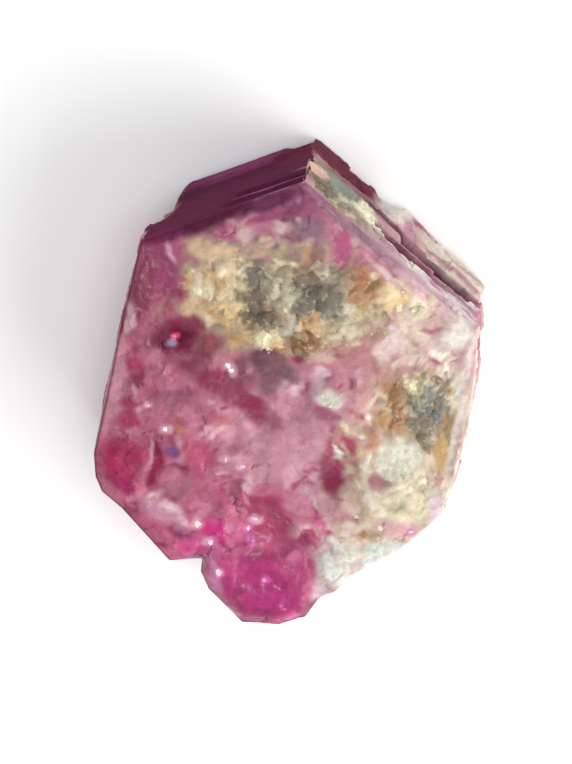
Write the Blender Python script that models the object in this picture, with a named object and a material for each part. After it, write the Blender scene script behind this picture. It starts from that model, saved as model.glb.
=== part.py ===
"""Red beryl crystal, lying on its back base with the front base up.

One short, distorted hexagonal prism with three remnants of its host rock, rhyolite, set in pockets.
Frame: metres, +Z up along the crystal's c-axis. The origin is on the resting face, under the middle
of the outline. +Y points to the apex of the front base, and +X to its right-hand corner.
Lengths in the tables are millimetres, and MM turns them into metres.
"""

import math

import bmesh
import bpy
import numpy as np
from mathutils import Matrix

MM = 0.001

# Driving dimensions of the crystal.
HEIGHT = 5.0  # between the two bases, along the c-axis
LOOP_STEP = 0.38  # longest gap between two points round the outline
RIM_ROUND = 0.10  # rounding of the front rim
LOBE_ROUND = 1.05  # rounding of the melted-looking lobe at the foot of the outline
FOOT_BEVEL = 0.14  # bevel between the sides and the resting face
SIDE_LEVELS = 19
TOP_RINGS = 17
FOOT_RINGS = (0.97, 0.85, 0.62, 0.38)  # rings of the back base, as shares of its radius
HOLLOW_FOOT = 0.12  # how far the back base is etched away between its flat rim and its flat middle

# The outline, one prism face after the other, clockwise from the apex. Each face is listed from its
# first corner up to the next face's first corner.
OUTLINE = (
    ("top_right", [(0.52, 5.68), (2.17, 4.25), (3.50, 3.04)]),
    ("right", [(4.80, 1.90), (4.76, 0.87), (4.55, -0.61), (4.33, -1.73)]),
    ("lower_right", [(3.98, -2.80), (2.92, -3.78), (1.62, -4.50), (1.22, -5.02)]),
    ("lobe", [(0.82, -5.34), (0.50, -5.80), (-0.16, -6.02), (-1.12, -5.98), (-1.98, -5.12), (-2.18, -4.66)]),
    ("lower_left", [(-2.14, -4.32), (-2.92, -4.14), (-4.10, -2.80), (-4.61, -2.36)]),
    ("left", [(-4.77, -1.98), (-4.81, -1.38), (-4.40, 0.48), (-4.19, 1.57)]),
    ("top_left", [(-3.59, 4.15), (-1.12, 5.08)]),
)

# Hollows and mounds of the front base: middle, radius and height, which is negative for a hollow.
FRONT_FORMS = (
    ("dark_window", (-2.45, 1.35), 0.75, -0.26),
    ("left_slot", (-2.95, -1.95), 0.65, -0.28),
    ("middle_window", (-1.00, -0.55), 0.95, -0.24),
    ("right_window", (1.20, -1.60), 0.70, -0.24),
    ("corner_boss", (-3.90, -1.60), 0.90, 0.16),
    ("lower_window", (-0.55, -3.15), 0.95, -0.24),
    ("quartz_knob", (1.12, 0.25), 0.60, 0.20),
    ("bleached_swell", (2.60, -2.30), 1.10, 0.18),
    ("left_swell", (-3.40, 0.30), 0.80, 0.15),
    ("upper_swell", (0.70, 4.60), 0.75, 0.12),
)

# The rhyolite remnants: footprints on their faces, and how deep they are set.
POCKET_DEPTH = 0.42
PATCH_GAP = 0.08  # between a remnant and its pocket
PATCH_PROUD = 0.10  # how far a remnant stands out of its face
GRAIN_HEIGHT = 0.09
UPPER_FOOTPRINT = [
    (-2.60, 3.03), (-2.30, 3.70), (-1.90, 4.02), (-1.20, 4.08), (-0.50, 3.90), (0.20, 3.72),
    (0.95, 3.90), (1.65, 3.58), (2.50, 3.32), (2.98, 2.95), (2.75, 2.40), (2.20, 1.85),
    (1.38, 1.45), (0.75, 1.15), (-0.10, 1.15), (-0.75, 1.50), (-1.60, 1.95), (-2.40, 2.45),
]
RIGHT_FOOTPRINT = [
    (2.46, 0.52), (2.90, 0.98), (3.60, 1.10), (4.05, 0.72), (4.16, 0.10), (4.05, -0.85),
    (3.80, -1.50), (3.45, -1.25), (3.00, -0.66), (2.55, -0.52), (2.30, 0.00),
]
# On the upper right prism face: along the face from the apex, and up from the resting face.
LEDGE_FOOTPRINT = [
    (0.40, 4.55), (0.95, 4.72), (1.70, 4.66), (2.35, 4.35), (2.62, 3.72), (2.40, 3.05),
    (1.80, 2.72), (1.10, 2.80), (0.55, 3.25), (0.32, 3.95),
]

# Terraces and grooves across the upper right prism face: from and to along the face as shares of
# its length, from and to in depth below the front base, and how far they stand out.
TOP_RIGHT_STEPS = (
    ("apex_slab", 0.00, 0.36, 3.10, 5.00, 0.07),
    ("slab_foot", 0.36, 0.48, 3.30, 5.00, -0.06),
    ("near_groove", 0.40, 0.78, 1.35, 2.10, -0.20),
    ("far_groove", 0.55, 1.00, 2.30, 3.20, -0.26),
    ("outer_ridge", 0.46, 1.00, 3.50, 5.00, 0.14),
)
# Fine growth steps by the apex on the upper left face, and its flare at the back.
TOP_LEFT_STEPS = (
    ("first_step", 0.50, 1.00, 0.35, 0.80, -0.10),
    ("second_step", 0.55, 1.00, 1.15, 1.60, -0.12),
    ("flare", 0.10, 0.85, 4.10, 5.00, 0.08),
)
# Growth ledges of the other faces.
RIGHT_STEPS = (
    ("upper_band", 0.00, 0.55, 1.20, 1.90, -0.12),
    ("middle_band", 0.35, 1.00, 2.80, 3.60, -0.14),
    ("foot_ledge", 0.10, 0.70, 4.20, 5.00, 0.08),
)
LOWER_RIGHT_STEPS = (
    ("upper_cut", 0.15, 0.90, 0.80, 1.60, -0.15),
    ("lower_cut", 0.00, 0.60, 3.00, 3.90, -0.14),
)
LOWER_LEFT_STEPS = (
    ("middle_cut", 0.20, 0.90, 1.60, 2.60, -0.14),
    ("foot_ledge", 0.30, 1.00, 4.00, 5.00, 0.08),
)
LEFT_STEPS = (
    ("upper_band", 0.30, 1.00, 0.90, 1.50, -0.08),
    ("lower_band", 0.00, 0.60, 3.20, 4.20, -0.14),
)
SIDE_STEPS = {
    "top_right": TOP_RIGHT_STEPS,
    "right": RIGHT_STEPS,
    "lower_right": LOWER_RIGHT_STEPS,
    "lower_left": LOWER_LEFT_STEPS,
    "left": LEFT_STEPS,
    "top_left": TOP_LEFT_STEPS,
}
STEP_SLOPE = 0.12  # over how many millimetres of depth a step rises
BACK_CHAMFER = 0.60  # how far the upper left corner edge is cut back at its far end
CHAMFER_WIDTH = 1.10


def smooth(low, high, value):
    """0 below low, 1 above high, and a smooth ramp between."""
    share = np.clip((value - low) / (high - low), 0.0, 1.0)
    return share * share * (3.0 - 2.0 * share)


def lattice_noise(points, cell, seed):
    """Smooth noise from -1 to 1: a random value at each corner of a cubic lattice, blended between."""
    table = np.random.default_rng(seed).uniform(-1.0, 1.0, 4096)
    places = points / cell
    corner = np.floor(places).astype(np.int64)
    blend = places - corner
    blend = blend * blend * (3.0 - 2.0 * blend)
    total = np.zeros(len(points))
    for offset in np.ndindex(2, 2, 2):
        x, y, z = (corner + offset).T
        key = (x * 73856093) ^ (y * 19349663) ^ (z * 83492791)
        weight = np.prod(np.where(offset, blend, 1.0 - blend), axis=1)
        total += weight * table[key % len(table)]
    return total


def flat_noise(points, cell, seed):
    """The same noise over a plane."""
    return lattice_noise(np.column_stack([points, np.full(len(points), 0.37 * cell)]), cell, seed)


def subdivided(corners, step):
    """Points along a run of corners, each straight stretch cut into equal parts no longer than step.
    The last corner is left out."""
    points = []
    for start, end in zip(corners[:-1], corners[1:]):
        start, end = np.array(start), np.array(end)
        count = max(1, math.ceil(np.linalg.norm(end - start) / step))
        points += [start + (end - start) * k / count for k in range(count)]
    return np.array(points)


def outward(points):
    """Unit normals of a clockwise closed loop, each square to the chord between its neighbours."""
    chord = np.roll(points, -1, axis=0) - np.roll(points, 1, axis=0)
    normal = np.column_stack([-chord[:, 1], chord[:, 0]])
    return normal / np.linalg.norm(normal, axis=1, keepdims=True)


def outline_loop():
    """The outline's points, their outward normals, and for each point its face and its share along it."""
    points, names, shares = [], [], []
    for k, (name, corners) in enumerate(OUTLINE):
        next_corner = OUTLINE[(k + 1) % len(OUTLINE)][1][0]
        run = subdivided([*corners, next_corner], LOOP_STEP)
        points.append(run)
        names += [name] * len(run)
        shares.append(np.arange(len(run)) / len(run))
    points = np.concatenate(points)
    return points, outward(points), np.array(names), np.concatenate(shares)


def rim_rounding(points, names):
    """How far the rim is rounded at each point: widely on the lobe, hardly on the prism faces."""
    lobe = points[names == "lobe"]
    away = np.linalg.norm(points[:, None] - lobe[None], axis=2).min(axis=1)
    return RIM_ROUND + (LOBE_ROUND - RIM_ROUND) * (1.0 - smooth(0.0, 0.9, away))


def side_offset(points, names, shares, depth):
    """How far the sides stand out of the straight prism at a depth below the front base."""
    offset = np.zeros(len(points))
    for face, steps in SIDE_STEPS.items():
        for _, start, end, low, high, height in steps:
            along = smooth(start - 0.03, start + 0.03, shares) * (1.0 - smooth(end - 0.03, end + 0.03, shares))
            across = smooth(low, low + STEP_SLOPE, depth) * (1.0 - smooth(high, high + STEP_SLOPE, depth))
            offset += height * along * across * (names == face)
    corner = np.array(dict(OUTLINE)["top_left"][0])
    near = 1.0 - smooth(0.0, CHAMFER_WIDTH, np.linalg.norm(points - corner, axis=1))
    offset -= BACK_CHAMFER * near * smooth(1.0, HEIGHT, depth)
    places = np.column_stack([points, depth])
    rough = np.where((names == "top_left") | (names == "top_right"), 0.3, 1.0)
    return offset + 0.07 * rough * lattice_noise(places, 1.3, 11)


def front_relief(points):
    """Height of the front base above its plane."""
    height = 0.09 * flat_noise(points, 1.5, 1) + 0.07 * flat_noise(points, 0.75, 2)
    for _, middle, radius, rise in FRONT_FORMS:
        away = np.linalg.norm(points - np.array(middle), axis=1)
        away = away * (1.0 + 0.25 * flat_noise(points, 0.7, 3))
        height += rise * (1.0 - smooth(0.35 * radius, radius, away))
    return height


def crystal_loops():
    """The crystal as closed loops of points, from the middle of the front base down the sides to the
    middle of the back base. The first and last are single points."""
    rim, normal, names, shares = outline_loop()
    rounding = rim_rounding(rim, names)
    radius = np.linalg.norm(rim, axis=1)
    loops = [np.array([[0.0, 0.0, HEIGHT + front_relief(np.zeros((1, 2)))[0]]])]
    for share in np.linspace(0.0, 1.0, TOP_RINGS + 1)[1:] ** 0.9:
        flat = rim * share
        from_rim = (1.0 - share) * radius
        turn = np.clip(1.0 - from_rim / rounding, 0.0, 1.0)
        drop = rounding * (1.0 - np.sqrt(1.0 - turn * turn))
        fade = smooth(0.0, 0.25, from_rim)
        loops.append(np.column_stack([flat, HEIGHT - drop + front_relief(flat) * fade]))
    for share in np.linspace(0.0, 1.0, SIDE_LEVELS)[1:]:
        height = (HEIGHT - rounding) * (1.0 - share)
        height = np.maximum(height, FOOT_BEVEL)
        offset = side_offset(rim, names, shares, HEIGHT - height) * smooth(0.0, 0.12, share)
        loops.append(np.column_stack([rim + normal * offset[:, None], height]))
    foot = loops[-1][:, :2] - normal * FOOT_BEVEL
    loops.append(np.column_stack([foot, np.zeros(len(foot))]))
    for share in FOOT_RINGS:
        hollow = HOLLOW_FOOT * smooth(-0.2, 0.5, flat_noise(foot * share, 1.6, 7))
        flat_here = share > 0.9 or share < 0.5
        loops.append(np.column_stack([foot * share, np.zeros(len(foot)) if flat_here else hollow]))
    loops.append(np.zeros((1, 3)))
    return loops


def loft(name, loops, material):
    """A closed body through loops of points. The first and last loop may be a single point, and a
    last loop with more points is closed with one face."""
    mesh = bmesh.new()
    rows = [[mesh.verts.new(point * MM) for point in loop] for loop in loops]
    for upper, lower in zip(rows[:-1], rows[1:]):
        count = max(len(upper), len(lower))
        for k in range(count):
            after = (k + 1) % count
            corners = [upper[k % len(upper)], upper[after % len(upper)], lower[after % len(lower)], lower[k % len(lower)]]
            mesh.faces.new(dict.fromkeys(corners))
    if len(rows[-1]) > 1:
        mesh.faces.new(rows[-1])
    bmesh.ops.recalc_face_normals(mesh, faces=mesh.faces)
    data = bpy.data.meshes.new(name)
    mesh.to_mesh(data)
    mesh.free()
    body = bpy.data.objects.new(name, data)
    bpy.context.scene.collection.objects.link(body)
    body.data.materials.append(material)
    return body


def grown(footprint, by):
    """A footprint's points moved outwards from its middle."""
    points = np.array(footprint)
    middle = points.mean(axis=0)
    reach = np.linalg.norm(points - middle, axis=1, keepdims=True)
    return middle + (points - middle) * (1.0 + by / reach)


def remnant(name, footprint, face, material, seed):
    """A lumpy plate of host rock in the frame of its face, where Z 0 is the face's own plane."""
    rim = subdivided([*footprint, footprint[0]], 0.28)
    middle = rim.mean(axis=0)

    def top_of(points):
        return PATCH_PROUD + GRAIN_HEIGHT * (flat_noise(points, 0.34, seed) + 0.6 * flat_noise(points, 0.75, seed + 1))

    loops = [np.array([[*middle, top_of(middle[None])[0]]])]
    for share in (0.12, 0.26, 0.40, 0.54, 0.68, 0.82, 0.94):
        flat = middle + (rim - middle) * share
        loops.append(np.column_stack([flat, top_of(flat)]))
    loops.append(np.column_stack([rim, np.full(len(rim), -0.05)]))
    loops.append(np.column_stack([rim, np.full(len(rim), PATCH_GAP - POCKET_DEPTH)]))
    body = loft(name, loops, material)
    body.matrix_world = face
    return body


def pocket(crystal, name, footprint, face):
    """Cuts a remnant's pocket, one gap wider than its footprint, into the crystal."""
    rim = grown(footprint, PATCH_GAP)
    loops = [np.column_stack([rim, np.full(len(rim), height)]) for height in (1.0, -POCKET_DEPTH)]
    middle = rim.mean(axis=0)
    loops.insert(0, np.array([[*middle, 1.0]]))
    cutter = loft(name + "_pocket", loops, crystal.data.materials[0])
    cutter.matrix_world = face
    cutter.hide_render = True
    cutter.display_type = "WIRE"
    cut = crystal.modifiers.new(name, "BOOLEAN")
    cut.operation = "DIFFERENCE"
    cut.object = cutter


def face_frame(name):
    """The frame of a prism face: X along it from its first corner, Y up, Z out."""
    names = [face for face, _ in OUTLINE]
    k = names.index(name)
    start = np.array(OUTLINE[k][1][0])
    end = np.array(OUTLINE[(k + 1) % len(OUTLINE)][1][0])
    along = (end - start) / np.linalg.norm(end - start)
    out = (-along[1], along[0])
    return Matrix((
        (along[0], 0.0, out[0], start[0] * MM),
        (along[1], 0.0, out[1], start[1] * MM),
        (0.0, 1.0, 0.0, 0.0),
        (0.0, 0.0, 0.0, 1.0),
    ))


def finish_of(name, colour, roughness):
    material = bpy.data.materials.new(name)
    material.use_nodes = True
    shader = material.node_tree.nodes["Principled BSDF"]
    shader.inputs["Base Color"].default_value = (*colour, 1.0)
    shader.inputs["Roughness"].default_value = roughness
    shader.inputs["Metallic"].default_value = 0.0
    return material


def clear_scene():
    for thing in list(bpy.data.objects):
        bpy.data.objects.remove(thing)


def main():
    clear_scene()
    beryl = finish_of("red_beryl", (0.42, 0.07, 0.16), 0.25)
    rhyolite = finish_of("rhyolite", (0.52, 0.42, 0.28), 0.9)
    crystal = loft("red_beryl_crystal", crystal_loops(), beryl)
    front = Matrix.Translation((0.0, 0.0, HEIGHT * MM))
    ledge = face_frame("top_right")
    remnants = (
        ("rhyolite_upper", UPPER_FOOTPRINT, front, 21),
        ("rhyolite_right", RIGHT_FOOTPRINT, front, 31),
        ("rhyolite_ledge", LEDGE_FOOTPRINT, ledge, 41),
    )
    for name, footprint, face, seed in remnants:
        remnant(name, footprint, face, rhyolite, seed)
        pocket(crystal, name, footprint, face)


main()
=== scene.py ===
# %% [markdown]
# # A red beryl crystal with remnants of its host rock
#
# Red beryl grows in cavities of rhyolite as short six-sided prisms. This one is about 12 mm long and lies
# on its back base, with the front base up. It is cloudy pink where it is full of tiny cracks and
# inclusions, deep crimson where it is clear, bleached to cream on one side, and patches of the host rock
# still sit on it.
#
# The solids come from the packed frame. This notebook dresses them: it rebuilds the crystal and the three
# rock remnants as fine surfaces from the same outline and the same named sizes, and gives each one its
# finish. Lengths in the tables are millimetres, and `MM` turns them into metres.

import math

import bpy
import numpy as np
from mathutils import Matrix, Vector


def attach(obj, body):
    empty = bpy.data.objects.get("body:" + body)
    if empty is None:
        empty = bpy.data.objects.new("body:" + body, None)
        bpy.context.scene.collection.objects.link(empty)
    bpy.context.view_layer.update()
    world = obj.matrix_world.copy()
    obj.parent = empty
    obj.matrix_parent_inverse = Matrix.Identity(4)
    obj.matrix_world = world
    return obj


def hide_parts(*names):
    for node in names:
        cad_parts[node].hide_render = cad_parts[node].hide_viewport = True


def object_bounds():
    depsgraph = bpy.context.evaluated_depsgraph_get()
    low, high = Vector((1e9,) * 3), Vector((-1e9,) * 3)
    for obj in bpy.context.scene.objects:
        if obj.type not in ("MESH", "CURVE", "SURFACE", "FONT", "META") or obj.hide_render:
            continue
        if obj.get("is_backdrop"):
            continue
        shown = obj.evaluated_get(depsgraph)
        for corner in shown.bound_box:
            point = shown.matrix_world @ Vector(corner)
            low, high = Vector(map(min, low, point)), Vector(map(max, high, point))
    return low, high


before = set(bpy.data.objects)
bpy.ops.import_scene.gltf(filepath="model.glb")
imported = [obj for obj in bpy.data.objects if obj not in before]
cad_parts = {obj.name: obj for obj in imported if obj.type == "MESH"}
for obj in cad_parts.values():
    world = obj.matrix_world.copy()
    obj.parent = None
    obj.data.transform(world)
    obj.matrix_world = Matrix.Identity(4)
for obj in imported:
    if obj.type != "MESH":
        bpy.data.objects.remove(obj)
cad_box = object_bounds()
MM = 0.001  # a millimetre in metres
HEIGHT = 5.0  # of the crystal, from its back base to the plane of its front base
print("nodes:", sorted(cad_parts), "box:", np.round(np.array(cad_box) / MM, 2).tolist())

# %% [markdown]
# ## Noise and cells
#
# Nature's irregularity comes from two functions, both worked out on whole arrays. Lattice noise is smooth:
# good for swells and for bending the edge of a stain. Cells are Voronoi regions round jittered seeds: good
# for grains, and for the small flat facets of an etched crystal face. Blender has both as shader nodes, but
# a node only colours a surface. Here shape and colour have to agree, so both read the same arrays.
#
# A call of either gives the size of its pattern in millimetres and then a seed. The same seed gives the
# same pattern again.


# %% Noise and cells
def smooth(low, high, value):
    """0 below low, 1 above high, and between them 3s² - 2s³ of the share s."""
    share = np.clip((value - low) / (high - low), 0.0, 1.0)
    return share * share * (3.0 - 2.0 * share)


TABLE_ROWS = 4096
PRIMES = np.array([73856093, 19349663, 83492791])
BETWEEN_PLANES = 0.37  # where flat noise cuts the lattice, in cells above one of its planes


def pick(table, corner):
    """The rows of a random table that belong to lattice corners: each index times its own large prime, all
    joined by exclusive or, counts round the table."""
    return table[np.bitwise_xor.reduce(corner * PRIMES[: corner.shape[1]], axis=1) % len(table)]


def lattice_noise(points, cell, seed):
    """Smooth noise from -1 to 1: a random value at each corner of a cubic lattice, blended between."""
    table = np.random.default_rng(seed).uniform(-1.0, 1.0, TABLE_ROWS)
    places = points / cell
    corner = np.floor(places).astype(np.int64)
    blend = places - corner
    blend = blend * blend * (3.0 - 2.0 * blend)
    total = np.zeros(len(points))
    for offset in np.ndindex(2, 2, 2):
        weight = np.prod(np.where(offset, blend, 1.0 - blend), axis=1)
        total += weight * pick(table, corner + offset)
    return total


def flat_noise(points, cell, seed):
    """The same noise over a plane."""
    return lattice_noise(np.column_stack([points, np.full(len(points), BETWEEN_PLANES * cell)]), cell, seed)


def cells(points, size, seed):
    """Voronoi cells round one seed in each square of a lattice, anywhere in the middle 0.8 of it. For each
    point: the distance to its own seed, in cell sizes, the way from that seed, and four random numbers
    that its whole cell shares."""
    table = np.random.default_rng(seed).uniform(0.0, 1.0, (TABLE_ROWS, 6))
    places = points / size
    corner = np.floor(places).astype(np.int64)
    near = np.full(len(points), np.inf)
    way, luck = np.zeros((len(points), 2)), np.zeros((len(points), 4))
    for offset in np.ndindex(3, 3):
        square = corner + offset - 1
        row = pick(table, square)
        delta = places - (square + 0.1 + 0.8 * row[:, :2])
        away = np.hypot(*delta.T)
        mine = away < near
        near[mine] = away[mine]
        way[mine], luck[mine] = delta[mine] * size, row[mine, 2:]
    return near, way, luck


def facets(points, size, seed, height):
    """Height of an etched face: each cell is a small plane with its own level and its own tilt."""
    _, way, luck = cells(points, size, seed)
    tilt = 2.0 * luck[:, :2] - 1.0
    return height * ((way * tilt).sum(axis=1) / size + luck[:, 2] - 0.5)


def grains(points, size, seed, height):
    """Height of packed grains: each cell is a dome, the root of 1 - (distance / 0.72)², of its own size."""
    near, _, luck = cells(points, size, seed)
    return height * (0.55 + 0.45 * luck[:, 2]) * np.sqrt(np.clip(1.0 - (near / 0.72) ** 2, 0.0, 1.0))


print("random table:", TABLE_ROWS, "rows")

# %% [markdown]
# ## The outline and the named forms
#
# The outline runs clockwise from the apex, one prism face after the other, and each list ends where the
# next face begins. The forms of the front base and the steps of the side faces are those of the solid, so
# the fine surface follows it. Finer relief is added to them below.

# %% Sizes and forms shared with the solid
RIM_ROUND = 0.10  # radius of the worn front rim
LOBE_ROUND = 1.05  # the same on the lobe, which is rounded like a drop
FOOT_BEVEL = 0.14  # how far the foot steps in, and how high above the resting face it starts
HOLLOW_FOOT = 0.12  # how deep the back base is hollowed
STEP_SLOPE = 0.12  # depth over which a growth step rises or falls
BACK_CHAMFER = 0.60  # how far the back of the upper left corner is cut away
CHAMFER_WIDTH = 1.10  # how far from that corner the cut reaches
BASE_SWELL, BASE_RIPPLE = 0.09, 0.07  # height of the front base's wide and less wide waves
SIDE_SWELL = 0.07  # height of the waves of the side faces
CALM = 0.3  # share of the waves left on the two faces that grew most evenly

# face, its corners
OUTLINE = (
    ("top_right", [(0.52, 5.68), (2.17, 4.25), (3.50, 3.04)]),
    ("right", [(4.80, 1.90), (4.76, 0.87), (4.55, -0.61), (4.33, -1.73)]),
    ("lower_right", [(3.98, -2.80), (2.92, -3.78), (1.62, -4.50), (1.22, -5.02)]),
    ("lobe", [(0.82, -5.34), (0.50, -5.80), (-0.16, -6.02), (-1.12, -5.98), (-1.98, -5.12), (-2.18, -4.66)]),
    ("lower_left", [(-2.14, -4.32), (-2.92, -4.14), (-4.10, -2.80), (-4.61, -2.36)]),
    ("left", [(-4.77, -1.98), (-4.81, -1.38), (-4.40, 0.48), (-4.19, 1.57)]),
    ("top_left", [(-3.59, 4.15), (-1.12, 5.08)]),
)

# name, middle, radius, rise
FRONT_FORMS = (
    ("dark_window", (-2.45, 1.35), 0.75, -0.26),
    ("left_slot", (-2.95, -1.95), 0.65, -0.28),
    ("middle_window", (-1.00, -0.55), 0.95, -0.24),
    ("right_window", (1.20, -1.60), 0.70, -0.24),
    ("corner_boss", (-3.90, -1.60), 0.90, 0.16),
    ("lower_window", (-0.55, -3.15), 0.95, -0.24),
    ("quartz_knob", (1.12, 0.25), 0.60, 0.20),
    ("bleached_swell", (2.60, -2.30), 1.10, 0.18),
    ("left_swell", (-3.40, 0.30), 0.80, 0.15),
    ("upper_swell", (0.70, 4.60), 0.75, 0.12),
)

# The remnants: two on the front base, and one on the upper right face, along it and up it
UPPER_FOOTPRINT = [
    (-2.60, 3.03), (-2.30, 3.70), (-1.90, 4.02), (-1.20, 4.08), (-0.50, 3.90), (0.20, 3.72),
    (0.95, 3.90), (1.65, 3.58), (2.50, 3.32), (2.98, 2.95), (2.75, 2.40), (2.20, 1.85),
    (1.38, 1.45), (0.75, 1.15), (-0.10, 1.15), (-0.75, 1.50), (-1.60, 1.95), (-2.40, 2.45),
]

RIGHT_FOOTPRINT = [
    (2.46, 0.52), (2.90, 0.98), (3.60, 1.10), (4.05, 0.72), (4.16, 0.10), (4.05, -0.85),
    (3.80, -1.50), (3.45, -1.25), (3.00, -0.66), (2.55, -0.52), (2.30, 0.00),
]

LEDGE_FOOTPRINT = [
    (0.40, 4.55), (0.95, 4.72), (1.70, 4.66), (2.35, 4.35), (2.62, 3.72), (2.40, 3.05),
    (1.80, 2.72), (1.10, 2.80), (0.55, 3.25), (0.32, 3.95),
]

# face: name of the step, from and to along the face in shares of it, from and to in depth, how far out
SIDE_STEPS = {
    "top_right": (
        ("apex_slab", 0.00, 0.36, 3.10, 5.00, 0.07),
        ("slab_foot", 0.36, 0.48, 3.30, 5.00, -0.06),
        ("near_groove", 0.40, 0.78, 1.35, 2.10, -0.20),
        ("far_groove", 0.55, 1.00, 2.30, 3.20, -0.26),
        ("outer_ridge", 0.46, 1.00, 3.50, 5.00, 0.14),
    ),
    "right": (
        ("upper_band", 0.00, 0.55, 1.20, 1.90, -0.12),
        ("middle_band", 0.35, 1.00, 2.80, 3.60, -0.14),
        ("foot_ledge", 0.10, 0.70, 4.20, 5.00, 0.08),
    ),
    "lower_right": (
        ("upper_cut", 0.15, 0.90, 0.80, 1.60, -0.15),
        ("lower_cut", 0.00, 0.60, 3.00, 3.90, -0.14),
    ),
    "lower_left": (
        ("middle_cut", 0.20, 0.90, 1.60, 2.60, -0.14),
        ("foot_ledge", 0.30, 1.00, 4.00, 5.00, 0.08),
    ),
    "left": (
        ("upper_band", 0.30, 1.00, 0.90, 1.50, -0.08),
        ("lower_band", 0.00, 0.60, 3.20, 4.20, -0.14),
    ),
    "top_left": (
        ("first_step", 0.50, 1.00, 0.35, 0.80, -0.10),
        ("second_step", 0.55, 1.00, 1.15, 1.60, -0.12),
        ("flare", 0.10, 0.85, 4.10, 5.00, 0.08),
    ),
}
print("forms of the front base:", len(FRONT_FORMS), "steps of the sides:", sum(map(len, SIDE_STEPS.values())))

# %% [markdown]
# ## The loop round the crystal
#
# The rim, the rings of the side faces and the foot all have the same points round them, so that a point
# keeps its prism face and its place along that face from the rim down to the foot. The corners of the
# outline are among the points, which keeps the edges of the prism sharp.


# %% The loop
FRONT_SQUARES = 200  # along each side of the square grid that becomes the front base
LOOP_POINTS = 4 * FRONT_SQUARES


def around(corners, count):
    """count points along a closed run of corners. Each straight stretch gets its share of them, so that
    every corner is one of the points. Also returns the stretch of each point."""
    corners = np.array(corners)
    ends = np.roll(corners, -1, axis=0)
    lengths = np.linalg.norm(ends - corners, axis=1)
    counts = np.maximum(1, np.round(count * lengths / lengths.sum())).astype(int)
    counts[lengths.argmax()] += count - counts.sum()
    stretch = np.repeat(np.arange(len(corners)), counts)
    share = np.concatenate([np.arange(part) / part for part in counts])[:, None]
    return corners[stretch] * (1.0 - share) + ends[stretch] * share, stretch


def outward(points, reach=8):
    """Unit normals of a clockwise closed loop, each square to the chord between the points reach places
    before and after it, so that they turn gradually round a corner."""
    chord = np.roll(points, -reach, axis=0) - np.roll(points, reach, axis=0)
    normal = np.column_stack([-chord[:, 1], chord[:, 0]])
    return normal / np.linalg.norm(normal, axis=1, keepdims=True)


rim, stretch_of = around([corner for _, corners in OUTLINE for corner in corners], LOOP_POINTS)
rim_normal = outward(rim)
face_of = np.repeat([name for name, _ in OUTLINE], [len(corners) for _, corners in OUTLINE])[stretch_of]
face_points = [np.count_nonzero(face_of == name) for name, _ in OUTLINE]
share_of = np.concatenate([np.arange(count) / count for count in face_points])
first_corners = np.array([corners[0] for _, corners in OUTLINE])
face_ends = dict(zip(dict(OUTLINE), zip(first_corners, np.roll(first_corners, -1, axis=0))))
face_length = {name: np.linalg.norm(end - start) for name, (start, end) in face_ends.items()}
along_of = share_of * np.array([face_length[name] for name in face_of])
print("points round the loop:", len(rim))
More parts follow.
